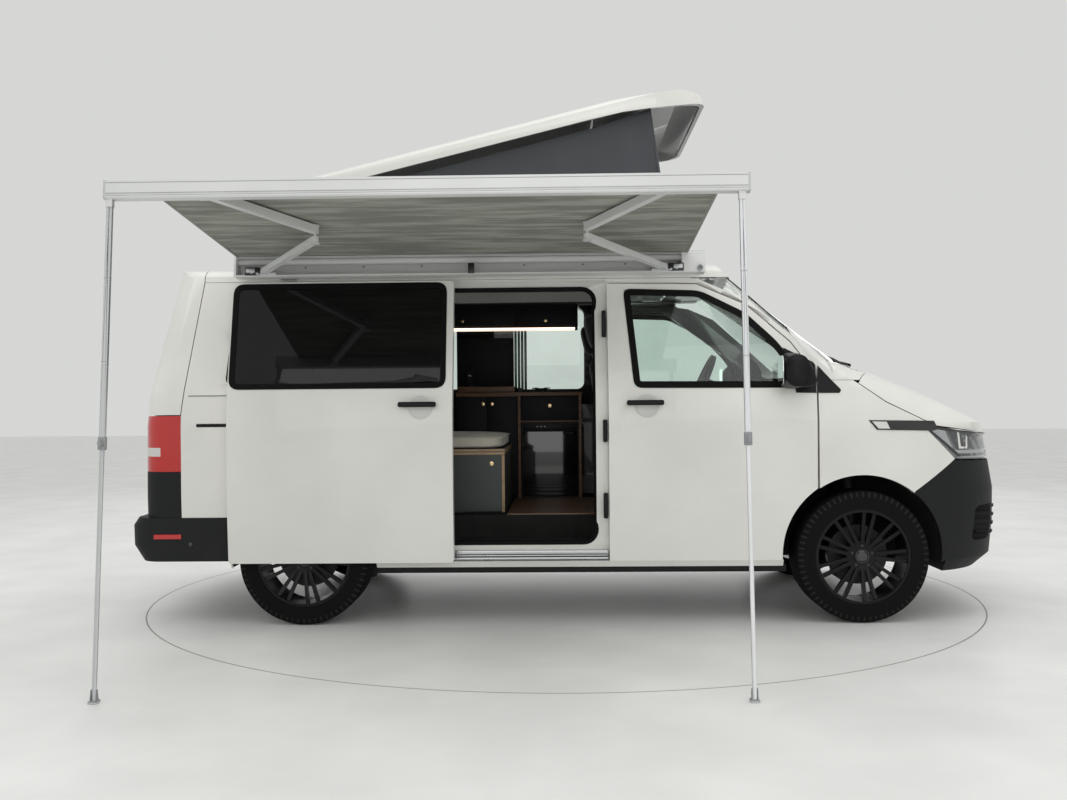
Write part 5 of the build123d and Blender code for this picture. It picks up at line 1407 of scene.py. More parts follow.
# --------------------------------------------------------------------------- roof and awning
def lay_uv(made: bpy.types.Object, width: float, length: float, across: int, up: int) -> None:
    """Gives a grid object a UV map in metres of cloth.

    Args:
        made: An object made by patch, whose vertices are the grid's.
        width: Size of the cloth along the grid's first direction.
        length: Size along its second direction.
        across: Number of cells along the first direction.
        up: Number of cells along the second.
    """
    layer = made.data.uv_layers.new(name="cloth")
    for loop in made.data.loops:
        row, column = divmod(loop.vertex_index, across + 1)
        layer.data[loop.index].uv = (width * column / across, length * row / up)


def finish_cloth(made: bpy.types.Object, thickness: float) -> None:
    """Gives a sheet its thickness."""
    wall = made.modifiers.new("thickness", "SOLIDIFY")
    wall.thickness = thickness
    wall.offset = 0.0


@dataclass
class PopTop:
    """The raised roof shell, its canvas walls, lift arms and aerial."""

    rear: float = -1.80
    front: float = 0.545
    half: float = 0.640
    foot: float = 2.016
    top_front: tuple[float, float] = (0.418, 2.846)
    tilt: float = math.radians(13.6)
    folded: float = 0.05
    vent_middle: tuple[float, float] = (-0.06, 2.13)
    vent_half: tuple[float, float] = (0.30, 0.28)

    @property
    def depth(self) -> float:
        """Length of the canvas's side along the van."""
        return self.front - self.rear

    @property
    def run(self) -> float:
        """Length of the canvas round both sides and the front."""
        return 2 * self.depth + 2 * self.half

    def build(self) -> None:
        """Builds the roof's shell, canvas and small fittings."""
        reshade("pop_top_shell", SHELL_PAINT)
        reshade("lift_arms", CASTING, 0.001)
        self.canvas()
        self.trims()

    def roof_line(self, x: float) -> float:
        """Height of the shell's underside over x, where the canvas ends."""
        top_x, top_z = self.top_front
        return max(self.foot + 0.02, top_z - (top_x - x) * math.tan(self.tilt))

    def wall(self, along: float, up: float) -> Point:
        """A point of the canvas.

        Args:
            along: 0 at the rear left corner, round by the front, to 1 at the rear right corner.
            up: 0 at the foot and 1 at the shell.

        Returns:
            The point.
        """
        depth = self.depth
        run = along * self.run
        at_side = True
        if run < depth:
            x, y = self.rear + run, self.half
        elif run < depth + 2 * self.half:
            x, y, at_side = self.front, self.half - (run - depth), False
        else:
            x, y = self.front - (run - depth - 2 * self.half), -self.half
        lean = (self.front - self.top_front[0]) * up
        height = self.roof_line(x - lean)
        z = self.foot + (height - self.foot) * up
        tall = min(1.0, (height - self.foot) / 0.8)
        wave = math.sin(run * 17.0 + 2.1 * up * tall) * 0.55 + math.sin(run * 31.0 - 3.0 * up + 0.7) * 0.25
        wave += 1.3 * noise(Vector((run * 3.0, up * 1.6, 4.0)))
        hang = math.sin(math.pi * min(1.0, up * 1.02)) ** 0.7 if up < 0.98 else 0.05
        inward = (0.012 + 0.011 * wave) * hang * (0.25 + tall)
        if at_side:
            sag = 0.012 * math.sin(math.pi * up) * tall
            fore = max(0.0, min(1.0, (x - self.rear) / 0.3))
            y -= math.copysign(max(0.0, inward) * fore + sag * fore, y)
            x -= lean * max(0.0, min(1.0, (x - 0.1) / (self.front - 0.1)))
        else:
            x -= lean + max(0.0, inward)
        return x, y, z

    def canvas(self) -> None:
        """The canvas wall with its folds, and the zip round the vent in each side."""
        made = patch(240, 26, self.wall)
        bmesh.ops.reverse_faces(made.bm, faces=made.bm.faces)
        cloth = made.cast("canvas_walls", CANVAS, "body", "canvas_cloth", 80)
        finish_cloth(cloth, 0.0022)
        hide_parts("canvas")
        pieces = [cloth]
        for name, seam in both_sides(self.vent):
            pieces.append(seam.cast(f"canvas_vent_{name}", SEAM_CLOTH, "body", "canvas_cloth"))
        for piece in pieces:
            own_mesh(piece)

    @staticmethod
    def cloth_area(cloth: bpy.types.Object) -> float:
        """Area of the cloth as it hangs, with a little for its hems."""
        return 1.01 * sum(face.area for face in cloth.data.polygons)

    def vent(self) -> Mould:
        """The zip round the side's vent, a thin bead on the canvas."""
        path = []
        steps = 18
        for step in range(steps + 1):
            turn = math.pi * step / steps
            x = self.vent_middle[0] - self.vent_half[0] * math.cos(turn)
            z = self.vent_middle[1] + self.vent_half[1] * math.sin(turn)
            along = 1.0 - (x - self.rear) / self.run
            up = (z - self.foot) / (self.roof_line(x) - self.foot)
            spot = self.wall(along, max(0.0, min(1.0, up)))
            path.append((spot[0], spot[1] - 0.002, z))
        return Mould().tube(path, 0.0045, 8)

    def trims(self) -> None:
        """The rubber line at the canvas's foot, and the aerial."""
        base = Mould()
        for side in SIDE_NAMES:
            inner, outer = sorted((side * (self.half + 0.004), side * (self.half + 0.026)))
            base.block((self.rear, inner, 1.99), (self.front, outer, 2.024), 0.005)
        base.block((self.front + 0.004, -self.half, 1.985), (self.front + 0.026, self.half, 2.024), 0.005)
        base.cast("canvas_foot_rail", SEAL, "body", "black_plastic")
        stub = Mould().rod((0.915, 0.0, 1.900), (0.905, 0.0, 1.972), 0.016, 0.009)
        stub.cast("roof_aerial", SATIN_BLACK, "body", "black_plastic")


@dataclass
class Awning:
    """The case, folding arms, cloth, lead bar and legs, in the awning's own tilted frame."""

    origin: Point = (0.0, -0.905, 1.938)
    pitch: float = math.radians(5.3)
    case: tuple[float, float] = (-1.8715, 0.6755)
    shoulders: dict[str, float] = field(default_factory=lambda: {"rear": -1.715, "front": 0.463})
    elbows: dict[str, tuple[float, float]] = field(
        default_factory=lambda: {"rear": (-1.277, -0.693), "front": (0.025, -0.693)}
    )
    cloth: tuple[float, float, float, float] = (-1.856, 0.584, -1.348, -0.0205)
    cloth_height: float = 0.0545
    rolled: float = 0.05
    bar: tuple[float, float, float, float] = (-2.009, 0.681, -1.394, -1.349)
    bar_heights: tuple[float, float] = (-0.016, 0.063)
    legs: dict[str, float] = field(default_factory=lambda: {"rear": -1.986, "front": 0.646})
    leg_y: float = -1.371
    foot_y: float = -2.462

    @property
    def place(self) -> Matrix:
        """Matrix from the awning's frame to the van's."""
        cos, sin = math.cos(self.pitch), math.sin(self.pitch)
        turn = Matrix(((1, 0, 0, 0), (0, cos, sin, 0), (0, -sin, cos, 0), (0, 0, 0, 1)))
        return Matrix.Translation(self.origin) @ turn

    def fit(
        self, mould: Mould, name: str, finish: Finish, body: str = "body", slot: str = "awning_metal"
    ) -> bpy.types.Object:
        """Puts a mould made in the awning's frame in its place and casts it."""
        return mould.shift(self.place).cast(name, finish, body, slot)

    def roll_up(self, piece: bpy.types.Object) -> None:
        """Gives a piece of the cloth its own copy of its mesh."""
        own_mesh(piece)

    def build(self) -> None:
        """Builds the awning's pieces."""
        reshade("awning_case", POWDER, 0.001)
        reshade("lead_bar", POWDER, 0.001)
        for end in ("rear", "front"):
            reshade(f"upper_arm_{end}", POWDER, 0.002)
            reshade(f"forearm_{end}", POWDER, 0.002)
            reshade(f"leg_{end}", ANODISED, 0.001)
            reshade(f"leg_foot_{end}", ANODISED, 0.001)
            self.arm_fittings(end)
            self.leg_fittings(end)
        self.case_fittings()
        self.bar_fittings()
        self.canopy()

    def canopy(self) -> None:
        """The cloth, a sheet that sags a little between the roller and the lead bar."""
        x_low, x_high, y_low, y_high = self.cloth
        across, up = 120, 60

        def spot(u: float, v: float) -> Point:
            sag = 0.0035 * math.sin(math.pi * v) * (1 + 0.5 * noise(Vector((u * 5, v * 2, 1.0))))
            ripple = 0.0012 * noise(Vector((u * 26, v * 1.5, 7.0))) * math.sin(math.pi * v)
            x, y = x_low + (x_high - x_low) * u, y_low + (y_high - y_low) * v
            return x, y, self.cloth_height - sag + ripple

        made = patch(across, up, spot).shift(self.place)
        cloth = made.cast("awning_canopy", AWNING_CLOTH, "body", "awning_cloth", 80)
        lay_uv(cloth, x_high - x_low, y_high - y_low, across, up)
        finish_cloth(cloth, 0.0015)
        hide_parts("awning_fabric")
        self.roll_up(cloth)
        hems = Mould()
        for start, end in ((x_low, x_low + 0.012), (x_high - 0.012, x_high)):
            hems.block((start, y_low, self.cloth_height - 0.0045), (end, y_high, self.cloth_height - 0.0015))
        self.roll_up(self.fit(hems, "awning_canopy_hems", HEM_CLOTH, slot="awning_cloth"))

    def case_fittings(self) -> None:
        """Shoulder brackets and hinges, middle bracket, rail lines, screws and the crank socket."""
        brackets, hinges, plates = Mould(), Mould(), Mould()
        for x, out in zip(self.shoulders.values(), (-1, 1)):
            brackets.block((x - 0.075, -0.020, -0.0515), (x + 0.075, -0.016, -0.018), 0.0015)
            brackets.block((x - 0.030, -0.027, -0.047), (x + 0.030, 0.020, -0.0415), 0.0015)
            for offset in (-0.058, 0.058):
                brackets.rod((x + offset, -0.0235, -0.035), (x + offset, -0.0268, -0.035), 0.0065, steps=6)
            low, high = sorted((x + out * 0.012, x + out * 0.097))
            hinges.block((low, -0.021, -0.050), (high, -0.014, -0.004), 0.002)
            low, high = sorted((x + out * 0.042, x + out * 0.090))
            plates.block((low, -0.0225, -0.034), (high, -0.019, -0.012), 0.001)
            bolt = x + out * 0.028
            plates.rod((bolt, -0.020, -0.040), (bolt, -0.0235, -0.040), 0.006, steps=12)
        self.fit(hinges, "awning_shoulder_hinges", STEEL_DARK, slot="steel")
        self.fit(plates, "awning_hinge_plates", ANODISED)
        self.fit(brackets, "awning_shoulder_brackets", ANODISED)
        middle = Mould().block((-0.600, -0.026, -0.051), (-0.566, -0.010, 0.006), 0.003)
        middle.rod((-0.583, -0.0255, -0.022), (-0.583, -0.029, -0.022), 0.009, steps=6)
        self.fit(middle, "awning_middle_bracket", STEEL_DARK, slot="black_plastic")
        lines = Mould()
        start, end = self.case
        for low, high, out in (
            (-0.0555, -0.0515, -0.020), (0.0445, 0.0465, -0.0215), (0.058, 0.0655, -0.0215)
        ):
            lines.block((start + 0.002, out, low), (end - 0.002, out + 0.012, high), 0.0008)
        self.fit(lines, "awning_case_ribs", POWDER)
        screws = Mould()
        for x in (-1.50, -1.18, -0.86, -0.30, 0.02, 0.25):
            screws.rod((x, 0.060, 0.010), (x, 0.0635, 0.010), 0.006)
        self.fit(screws, "awning_screws", BRIGHT, slot="steel")
        profile = (
            (0.0, 0.0), (0.0145, 0.0), (0.016, 0.003), (0.016, 0.013), (0.009, 0.013),
            (0.008, 0.004), (0.0, 0.004),
        )
        socket = Mould().lathe(profile, (0.646, -0.020, -0.034), (0, -1, 0), 32)
        self.fit(socket, "awning_crank_socket", GREY_PLASTIC, slot="black_plastic")

    def bar_fittings(self) -> None:
        """Ribs, grey strips that stand for the shade in each groove of the lead bar (painted shade), and its
        end caps.
        """
        start, end, far, near = self.bar
        low, high = self.bar_heights
        ribs = Mould()
        fine = 0.0016
        for height, thick in (
            (low + 0.006, 0.006), (low + 0.019, fine), (low + 0.0245, fine), (high - 0.010, fine)
        ):
            out = far - 0.0012
            ribs.block((start + 0.012, out, height), (end - 0.012, far + 0.003, height + thick), 0.0005)
        self.fit(ribs, "lead_bar_ribs", POWDER, "lead_bar")
        # Painted shade: thin grey strips, nearly flush with the face, stand for the shade in each groove of
        # the bar.
        groove_shade = Mould()
        for height in (low + 0.0125, low + 0.0215, high - 0.0125):
            groove_shade.block((start + 0.012, far - 0.0003, height), (end - 0.012, far + 0.002, height + 0.0018))
        self.fit(groove_shade, "lead_bar_groove_shade", GREY_PLASTIC, "lead_bar", "black_plastic")
        caps = Mould()
        for x_low, x_high in ((start, start + 0.012), (end - 0.012, end)):
            caps.block((x_low, far - 0.001, low - 0.0008), (x_high, near - 0.0015, high + 0.0008), 0.003, 3)
        self.fit(caps, "lead_bar_caps", GREY_CAP, "lead_bar")

    def arm_fittings(self, end: str) -> None:
        """Elbow cap, elbow head and the two cable runs of one arm."""
        x, y = self.elbows[end]
        below = ((0.0, -0.047), (0.021, -0.047), (0.023, -0.044), (0.023, -0.0405), (0.0, -0.0405))
        above = ((0.0, 0.0425), (0.022, 0.0425), (0.022, 0.046), (0.020, 0.0475), (0.0, 0.0475))
        for profile, label, body in ((below, "elbow_cap", "upper_arm"), (above, "elbow_head", "forearm")):
            turned = Mould().lathe(profile, (x, y, 0), steps=32)
            self.fit(turned, f"{label}_{end}", GREY_CAP, f"{body}_{end}")
        shoulder = Vector((self.shoulders[end], 0.0))
        run = Vector((x, y)) - shoulder
        side = Vector((-run.y, run.x)).normalized() * 0.0175
        cables = Mould()
        for sign in (1, -1):
            ends = [shoulder + run * share + side * sign for share in (0.06, 0.94)]
            cables.tube([(*spot, -0.026) for spot in ends], 0.0012, 6)
        self.fit(cables, f"arm_rib_{end}", POWDER, f"upper_arm_{end}")

    def leg_fittings(self, end: str) -> None:
        """The clamp half-way down a leg with its knob, two dark bands and the shoe of the foot."""
        x = self.legs[end]
        y = self.leg_y
        clamp = Mould().block((x - 0.0155, y - 0.0125, -1.062), (x + 0.0155, y + 0.0125, -1.008), 0.004, 3)
        clamp.rod((x, y - 0.012, -1.035), (x, y - 0.024, -1.035), 0.010, 0.012)
        clamp.block((x - 0.005, y - 0.031, -1.050), (x + 0.005, y - 0.022, -1.020), 0.003)
        self.fit(clamp, f"leg_clamp_{end}", GREY_PLASTIC, f"leg_{end}", "black_plastic")
        bands = Mould()
        for height in (-0.35, -0.70):
            bands.block((x - 0.0125, y - 0.0095, height), (x + 0.0125, y + 0.0095, height + 0.004), 0.001)
        self.fit(bands, f"leg_band_{end}", GREY_PLASTIC, f"leg_{end}", "black_plastic")
        y = self.foot_y
        shoe = Mould().block((x - 0.0175, y - 0.0215, 0.0005), (x + 0.0175, y + 0.0215, 0.010), 0.002)
        ear = ((y - 0.014, 0.008), (y + 0.016, 0.008), (y + 0.008, 0.052), (y - 0.004, 0.052))
        for inner in (-0.0125, 0.0095):
            shoe.prism(ear, x + inner, x + inner + 0.003, Axis.X)
        shoe.rod((x - 0.0145, y + 0.002, 0.034), (x + 0.0145, y + 0.002, 0.034), 0.004)
        shoe.cast(f"leg_shoe_{end}", GREY_PLASTIC, f"leg_foot_{end}", "black_plastic")


# --------------------------------------------------------------------------- wheels
@dataclass
class Wheels:
    """Tyre tread, rim, bolts, cap and brake disc of the four wheels."""

    hubs: dict[str, float] = field(default_factory=lambda: {"front": 1.5, "rear": -1.5})
    track: float = 0.814
    radius: float = 0.352
    face: float = 0.095
    bolts: int = 5
    bolt_circle: float = 0.056
    disc_backs: dict[str, float] = field(default_factory=lambda: {"front": -0.025, "rear": -0.020})
    treads: int = 66
    lugs: tuple[tuple[float, float, float, float, float], ...] = (
        (0.096, 0.1185, 0.334, 0.3455, 0.10),
        (-0.1185, -0.096, 0.334, 0.3455, 0.10),
        (0.055, 0.088, 0.344, 0.3512, 0.25),
        (0.010, 0.048, 0.344, 0.3518, -0.25),
        (-0.048, -0.010, 0.344, 0.3518, 0.25),
        (-0.088, -0.055, 0.344, 0.3512, -0.25),
    )

    def build(self) -> None:
        """Builds the four wheels."""
        for end, x in self.hubs.items():
            for side, name in SIDE_NAMES.items():
                label = f"{end}_{name}"
                reshade(f"tyre_{label}", TYRE, smooth=25)
                reshade(f"rim_{label}", ALLOY, 0.0012, smooth=30)
                self.treads_of(label, x, side)
                self.shoulder_ribs(label, x, side)
                self.hub(label, x, side, end)

    def place(self, x: float, side: int) -> Matrix:
        """Matrix that puts a wheel made around +Z on its axle, with +Z outwards."""
        turn = Matrix.Rotation(math.radians(90 if side == RIGHT else -90), 4, "X")
        return Matrix.Translation((x, side * self.track, self.radius)) @ turn

    def treads_of(self, label: str, x: float, side: int) -> None:
        """Shoulder lugs and tread blocks set into the tyre, and the rings of its side wall."""
        made = Mould()
        bm = made.bm
        step = math.tau / self.treads
        for low, high, inner, outer, lean in self.lugs:
            lug = bmesh.ops.create_cube(bm, size=1.0)["verts"]
            bmesh.ops.scale(bm, vec=(outer - inner, 0.0235, high - low), verts=lug)
            for vert in lug:
                vert.co.y += lean * vert.co.z
            bmesh.ops.translate(bm, vec=((outer + inner) / 2, 0, (low + high) / 2), verts=lug)
            edges = {edge for vert in lug for edge in vert.link_edges}
            faces = {face for vert in lug for face in vert.link_faces}
            bmesh.ops.spin(
                bm,
                geom=[*lug, *edges, *faces],
                cent=(0, 0, 0),
                axis=(0, 0, 1),
                angle=step * (self.treads - 1),
                steps=self.treads - 1,
                use_duplicate=True,
            )
        bmesh.ops.recalc_face_normals(bm, faces=bm.faces)
        for radius, height in ((0.318, 0.1248), (0.272, 0.1235)):
            low, high = height - 0.004, height + 0.0005
            profile = (
                (radius - 0.003, low), (radius - 0.002, high), (radius + 0.002, high), (radius + 0.003, low)
            )
            made.merge(Mould().lathe(profile, steps=96))
        made.shift(self.place(x, side)).cast(f"tread_{label}", TYRE, f"wheel_{label}", "tyre_rubber", 30)

    def shoulder_ribs(self, label: str, x: float, side: int) -> None:
        """Short radial ribs on the outer shoulder, laid on the tyre."""
        made = Mould()
        for index in range(self.treads):
            rib = Mould().block((-0.0042, -0.0016, 0.319), (0.0042, 0.0016, 0.3475))
            turn = Matrix.Rotation(math.tau * index / self.treads, 4, "Y")
            made.merge(rib.divide(Axis.Z, 0.01, 4).shift(Matrix.Translation((x, 0, self.radius)) @ turn))
        press(made, f"tyre_{label}", Axis.Y, side)
        made.cast(f"shoulder_ribs_{label}", LUG_RUBBER, f"wheel_{label}", "tyre_rubber")

    def hub(self, label: str, x: float, side: int, end: str) -> None:
        """Blank centre cap with its ring, five bolts and the brake disc behind."""
        face = self.face
        body = f"wheel_{label}"
        place = self.place(x, side)
        cap = Mould().lathe(
            (
                (0.0, face + 0.006), (0.026, face + 0.005), (0.0305, face + 0.001),
                (0.0315, face - 0.006), (0.0, face - 0.006),
            ),
            steps=48,
        )
        ring = Mould().lathe(
            (
                (0.0315, face - 0.004), (0.0325, face + 0.0022), (0.0365, face + 0.0022),
                (0.0375, face - 0.004),
            ),
            steps=48,
        )
        cap.merge(ring).shift(place).cast(f"wheel_cap_{label}", GLOSS_BLACK, body, "wheel_alloy")
        bolts = Mould()
        for index in range(self.bolts):
            turn = math.tau * index / self.bolts + 0.3
            spot = (self.bolt_circle * math.cos(turn), self.bolt_circle * math.sin(turn))
            bolts.rod((*spot, face - 0.028), (*spot, face - 0.006), 0.0095, steps=6)
            bolts.rod((*spot, face - 0.008), (*spot, face - 0.003), 0.0085, 0.006, steps=12)
        bolts.shift(place).cast(f"wheel_bolts_{label}", STEEL_DARK, body, "steel")
        profile = ((0.075, 0.0), (0.160, 0.0), (0.162, 0.002), (0.162, 0.020), (0.160, 0.022), (0.075, 0.022))
        disc = Mould().lathe(profile, (0, 0, self.disc_backs[end]))
        disc.shift(place).cast(f"brake_disc_{label}", DISC, body, "cast_metal")


# --------------------------------------------------------------------------- cabin
def pad(
    low: Sequence[float], high: Sequence[float], crown: float, square: float, pull: float, cuts: int = 14
) -> Mould:
    """A crowned, rounded cushion between two corners.

    Args:
        low: Its lowest corner.
        high: Its highest corner.
        crown: How far its top rises in the middle.
        square: The higher, the squarer its corners.
        pull: How far its sides pull in between the corners, as a share of its size.
        cuts: How finely its surface is divided.

    Returns:
        The cushion.
    """
    made = Mould()
    bm = made.bm
    bmesh.ops.create_cube(bm, size=2.0)
    bmesh.ops.subdivide_edges(bm, edges=bm.edges, cuts=cuts, use_grid_fill=True)
    size = (Vector(high) - Vector(low)) / 2
    middle = (Vector(high) + Vector(low)) / 2
    for vert in bm.verts:
        u, v, w = vert.co
        spread = (abs(u) ** square + abs(v) ** square + abs(w) ** square) ** (1 / square)
        shape = Vector((u, v, w)) * (max(abs(u), abs(v), abs(w)) / spread)
        shape.x *= 1 - pull * (1 - v * v)
        shape.y *= 1 - pull * (1 - u * u)
        lift = crown * (1 - u * u) * (1 - v * v) if w > 0 else 0.0
        rest = size.z - crown if w > 0 else size.z
        vert.co = Vector((shape.x * size.x, shape.y * size.y, shape.z * rest + lift * max(0.0, w)))
        vert.co += middle
    return made


def cast_pad(mould: Mould, name: str, finish: Finish, slot: str) -> bpy.types.Object:
    made = mould.cast(name, finish, "body", slot, 80)
    fine = made.modifiers.new("fine", "SUBSURF")
    fine.levels = 1
    fine.render_levels = 1
    return made


@dataclass
class Kitchen:
    """The kitchen unit: fronts, worktop, hob, tap, fridge and knobs."""

    rear: float = -0.800
    front: float = 0.031
    face: float = 0.440
    split: float = -0.381
    top: float = 1.262
    fridge: tuple[float, float, float, float] = (-0.365, 0.012, 0.566, 1.064)
    drawer: tuple[float, float, float, float] = (-0.362, 0.010, 1.074, 1.234)
    cupboards: tuple[tuple[float, float], ...] = ((-0.797, -0.593), (-0.589, -0.397))

    def build(self) -> None:
        """Builds the unit's visible parts over its carcass."""
        reshade("kitchen_unit", CHARCOAL, 0.0008)
        face = self.face
        fronts = Mould().block(
            (self.drawer[0], face - 0.008, self.drawer[2]),
            (self.drawer[1], face + 0.004, self.drawer[3]),
            0.0012,
        )
        for start, end in self.cupboards:
            fronts.block((start + 0.002, face - 0.008, 0.622), (end - 0.002, face + 0.004, 1.234), 0.0012)
        fronts.cast("kitchen_fronts", CHARCOAL, "body", "dark_board")
        self.timber().cast("kitchen_timber", WALNUT_TRIM, "body", "birch_ply")
        top = Mould().block(
            (self.rear + 0.002, 0.434, self.top - 0.001),
            (self.front + 0.004, 0.826, self.top + 0.003),
            0.0015,
        )
        top.cast("kitchen_worktop", CHARCOAL, "body", "dark_board")
        self.cooker()
        self.cold_box()
        knobs = Mould()
        profile = ((0.0, 0.0), (0.006, 0.0), (0.004, 0.010), (0.0115, 0.016), (0.0115, 0.024), (0.0, 0.026))
        for x, z in ((-0.176, 1.172), (-0.620, 1.185), (-0.560, 1.185)):
            knobs.lathe(profile, (x, face - 0.007, z), (0, -1, 0), 24)
        knobs.cast("kitchen_knobs", BRASS, "body", "steel")

    def timber(self) -> Mould:
        """Worktop edge, uprights with a rounded top corner, and the tray strip."""
        made = Mould().block((self.rear, 0.4295, 1.2395), (self.front + 0.006, 0.4365, 1.2625), 0.002)
        for x in (self.split, 0.023):
            made.block((x - 0.009, 0.4285, 0.561), (x + 0.009, 0.447, 1.242), 0.002)
        made.block((self.rear, 0.4305, 1.236), (self.split, 0.450, 1.2425), 0.001)
        low = (self.rear + 0.01, 0.470, self.top + 0.002)
        made.block(low, (self.split - 0.03, 0.484, self.top + 0.040), 0.003)
        made.block((self.split, 0.4305, 1.064), (0.023, 0.452, 1.074), 0.001)
        return made

    def cooker(self) -> None:
        """A glass hob with two burners and pan rests, and a bent tap over the sink."""
        top = self.top
        plate = Mould().block((-0.540, 0.500, top), (-0.130, 0.700, top + 0.006), 0.003)
        plate.cast("hob_glass", GLOSS_BLACK, "body", "gloss_black")
        rests = Mould()
        burner = ((0.018, 0.0), (0.030, 0.0), (0.034, 0.006), (0.030, 0.012), (0.018, 0.012))
        y = 0.590
        for x in (-0.430, -0.236):
            rests.lathe(burner, (x, y, top + 0.005), steps=32)
            for index in range(4):
                turn = math.radians(45 + 90 * index)
                rests.tube(
                    [
                        (x + reach * math.cos(turn), y + reach * math.sin(turn), top + rise)
                        for reach, rise in ((0.085, 0.006), (0.078, 0.030), (0.030, 0.030))
                    ],
                    0.003,
                    8,
                )
        rests.cast("hob_pan_rests", STEEL_DARK, "body", "steel")
        x = -0.714
        tap = Mould().rod((x, 0.600, top), (x, 0.600, top + 0.030), 0.016)
        bend = (
            (0.600, top + 0.02), (0.600, 1.370), (0.590, 1.392),
            (0.565, 1.400), (0.535, 1.392), (0.522, 1.372),
        )
        tap.tube([(x, *spot) for spot in bend], 0.008, 14)
        tap.cast("tap", BRIGHT, "body", "steel")

    def cold_box(self) -> None:
        """The gloss-black fridge door, its frame, its recessed grip and the small lamps."""
        x_low, x_high, z_low, z_high = self.fridge
        y = self.face
        door = Mould().block(
            (x_low + 0.006, y - 0.012, z_low + 0.010), (x_high - 0.006, y + 0.004, z_high - 0.060), 0.004, 3
        )
        door.cast("fridge_door", GLOSS_BLACK, "body", "gloss_black")
        top = z_high - 0.004
        outline = ((x_low, z_low), (x_high, z_low), (x_high, top), (x_low, top))
        surround = band(outline, 0.006, y + 0.002, y - 0.006, 0.012)
        for low, high in (
            ((x_low + 0.008, y - 0.010, z_high - 0.052), (x_high - 0.008, y + 0.003, z_high - 0.010)),
            ((x_high - 0.105, y - 0.017, z_high - 0.078), (x_high - 0.035, y - 0.011, z_high - 0.064)),
        ):
            surround.block(low, high, 0.003)
        surround.cast("fridge_frame", SATIN_BLACK, "body", "gloss_black")
        lamps = Mould()
        for x in (x_low + 0.10, x_low + 0.125, x_low + 0.150):
            lamps.block((x, y - 0.0106, z_high - 0.033), (x + 0.009, y - 0.009, z_high - 0.027), 0.001)
        lamps.cast("fridge_indicators", WHITE_LENS, "body", "lamp_lens")


@dataclass
class Locker:
    """The overhead locker with its knob, seam and lit strip."""

    rear: float = -1.240
    front: float = 0.015
    face: float = 0.520

    def build(self) -> None:
        """Builds the locker's trim."""
        reshade("overhead_locker", CHARCOAL, 0.001)
        doors = Mould()
        for start, end in ((self.rear + 0.005, -0.845), (-0.841, -0.400), (-0.396, self.front - 0.004)):
            doors.block((start, self.face - 0.012, 1.712), (end, self.face + 0.004, 1.830), 0.0015)
        doors.cast("locker_doors", CHARCOAL, "body", "dark_board")
        knobs = Mould()
        profile = ((0.0, 0.0), (0.006, 0.0), (0.004, 0.008), (0.011, 0.014), (0.011, 0.021), (0.0, 0.023))
        for x in (-0.76, -0.20):
            knobs.lathe(profile, (x, self.face - 0.011, 1.742), (0, -1, 0), 24)
        knobs.cast("locker_knobs", BRASS, "body", "steel")
        lit = Mould()
        start, end, face = self.rear + 0.03, self.front - 0.02, self.face
        for near, far, low, high in ((0.022, 0.040, 1.6785, 1.6855), (0.0175, 0.0235, 1.683, 1.698)):
            lit.block((start, face + near, low), (end, face + far, high), 0.002)
        lit.cast("locker_light", LED, "body", "lamp_lens")


@dataclass
class Bench:
    """The rear bench with its ply edges, catch and cushion."""

    low: Point = (-1.234, -0.500, 0.560)
    high: Point = (-0.434, 0.400, 0.926)
    cushion_top: float = 1.018

    def build(self) -> None:
        """Builds the bench's edges and cushion."""
        reshade("bench", BENCH_BOARD, 0.001)
        x_low, y_low, z_low = self.low
        x_high, y_high, z_high = self.high
        front, right = x_high + 0.001, y_low - 0.001
        edges = Mould()
        for low, high in (
            ((x_low, right, z_high - 0.015), (front, y_low + 0.016, z_high - 0.001)),
            ((x_low, right, z_high - 0.034), (front, y_low + 0.016, z_high - 0.019)),
            ((x_high - 0.016, right, z_low), (front, y_low + 0.010, z_high - 0.034)),
            ((x_high - 0.006, y_low, z_high - 0.034), (x_high + 0.0012, y_high, z_high - 0.001)),
        ):
            edges.block(low, high, 0.002)
        edges.cast("bench_ply_edges", PLY_EDGE, "body", "birch_ply")
        catch = Mould().lathe(
            ((0.0, 0.0), (0.013, 0.0), (0.013, 0.003), (0.010, 0.004), (0.0, 0.004)),
            (x_high - 0.075, y_low - 0.0002, z_high - 0.085), (0, -1, 0), 24,
        )
        catch.cast("bench_catch", BRASS, "body", "steel")
        low = (x_low + 0.006, y_low + 0.006, z_high + 0.001)
        top = pad(low, (x_high - 0.006, y_high - 0.006, self.cushion_top), 0.014, 9.0, 0.006)
        cushion = cast_pad(top, "bench_seat_cushion", CUSHION_CLOTH, "cushion_cloth")
        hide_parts("bench_cushion")
        z = (z_high + self.cushion_top) / 2 + 0.018
        edge, corner, start = 0.0085, 0.018, 0.05
        path = (
            (x_low + start, y_low + edge), (x_high - start, y_low + edge),
            (x_high - corner, y_low + corner), (x_high - edge, y_low + start),
            (x_high - edge, y_high - start), (x_high - corner, y_high - corner),
            (x_high - start, y_high - edge), (x_low + start, y_high - edge),
            (x_low + corner, y_high - corner), (x_low + edge, y_high - start),
            (x_low + edge, y_low + start), (x_low + corner, y_low + corner),
            (x_low + start, y_low + edge),
        )
        piping = Mould().tube([(*spot, z) for spot in path], 0.003, 8)
        piping.cast("bench_cushion_piping", PIPING, "body", "cushion_cloth")


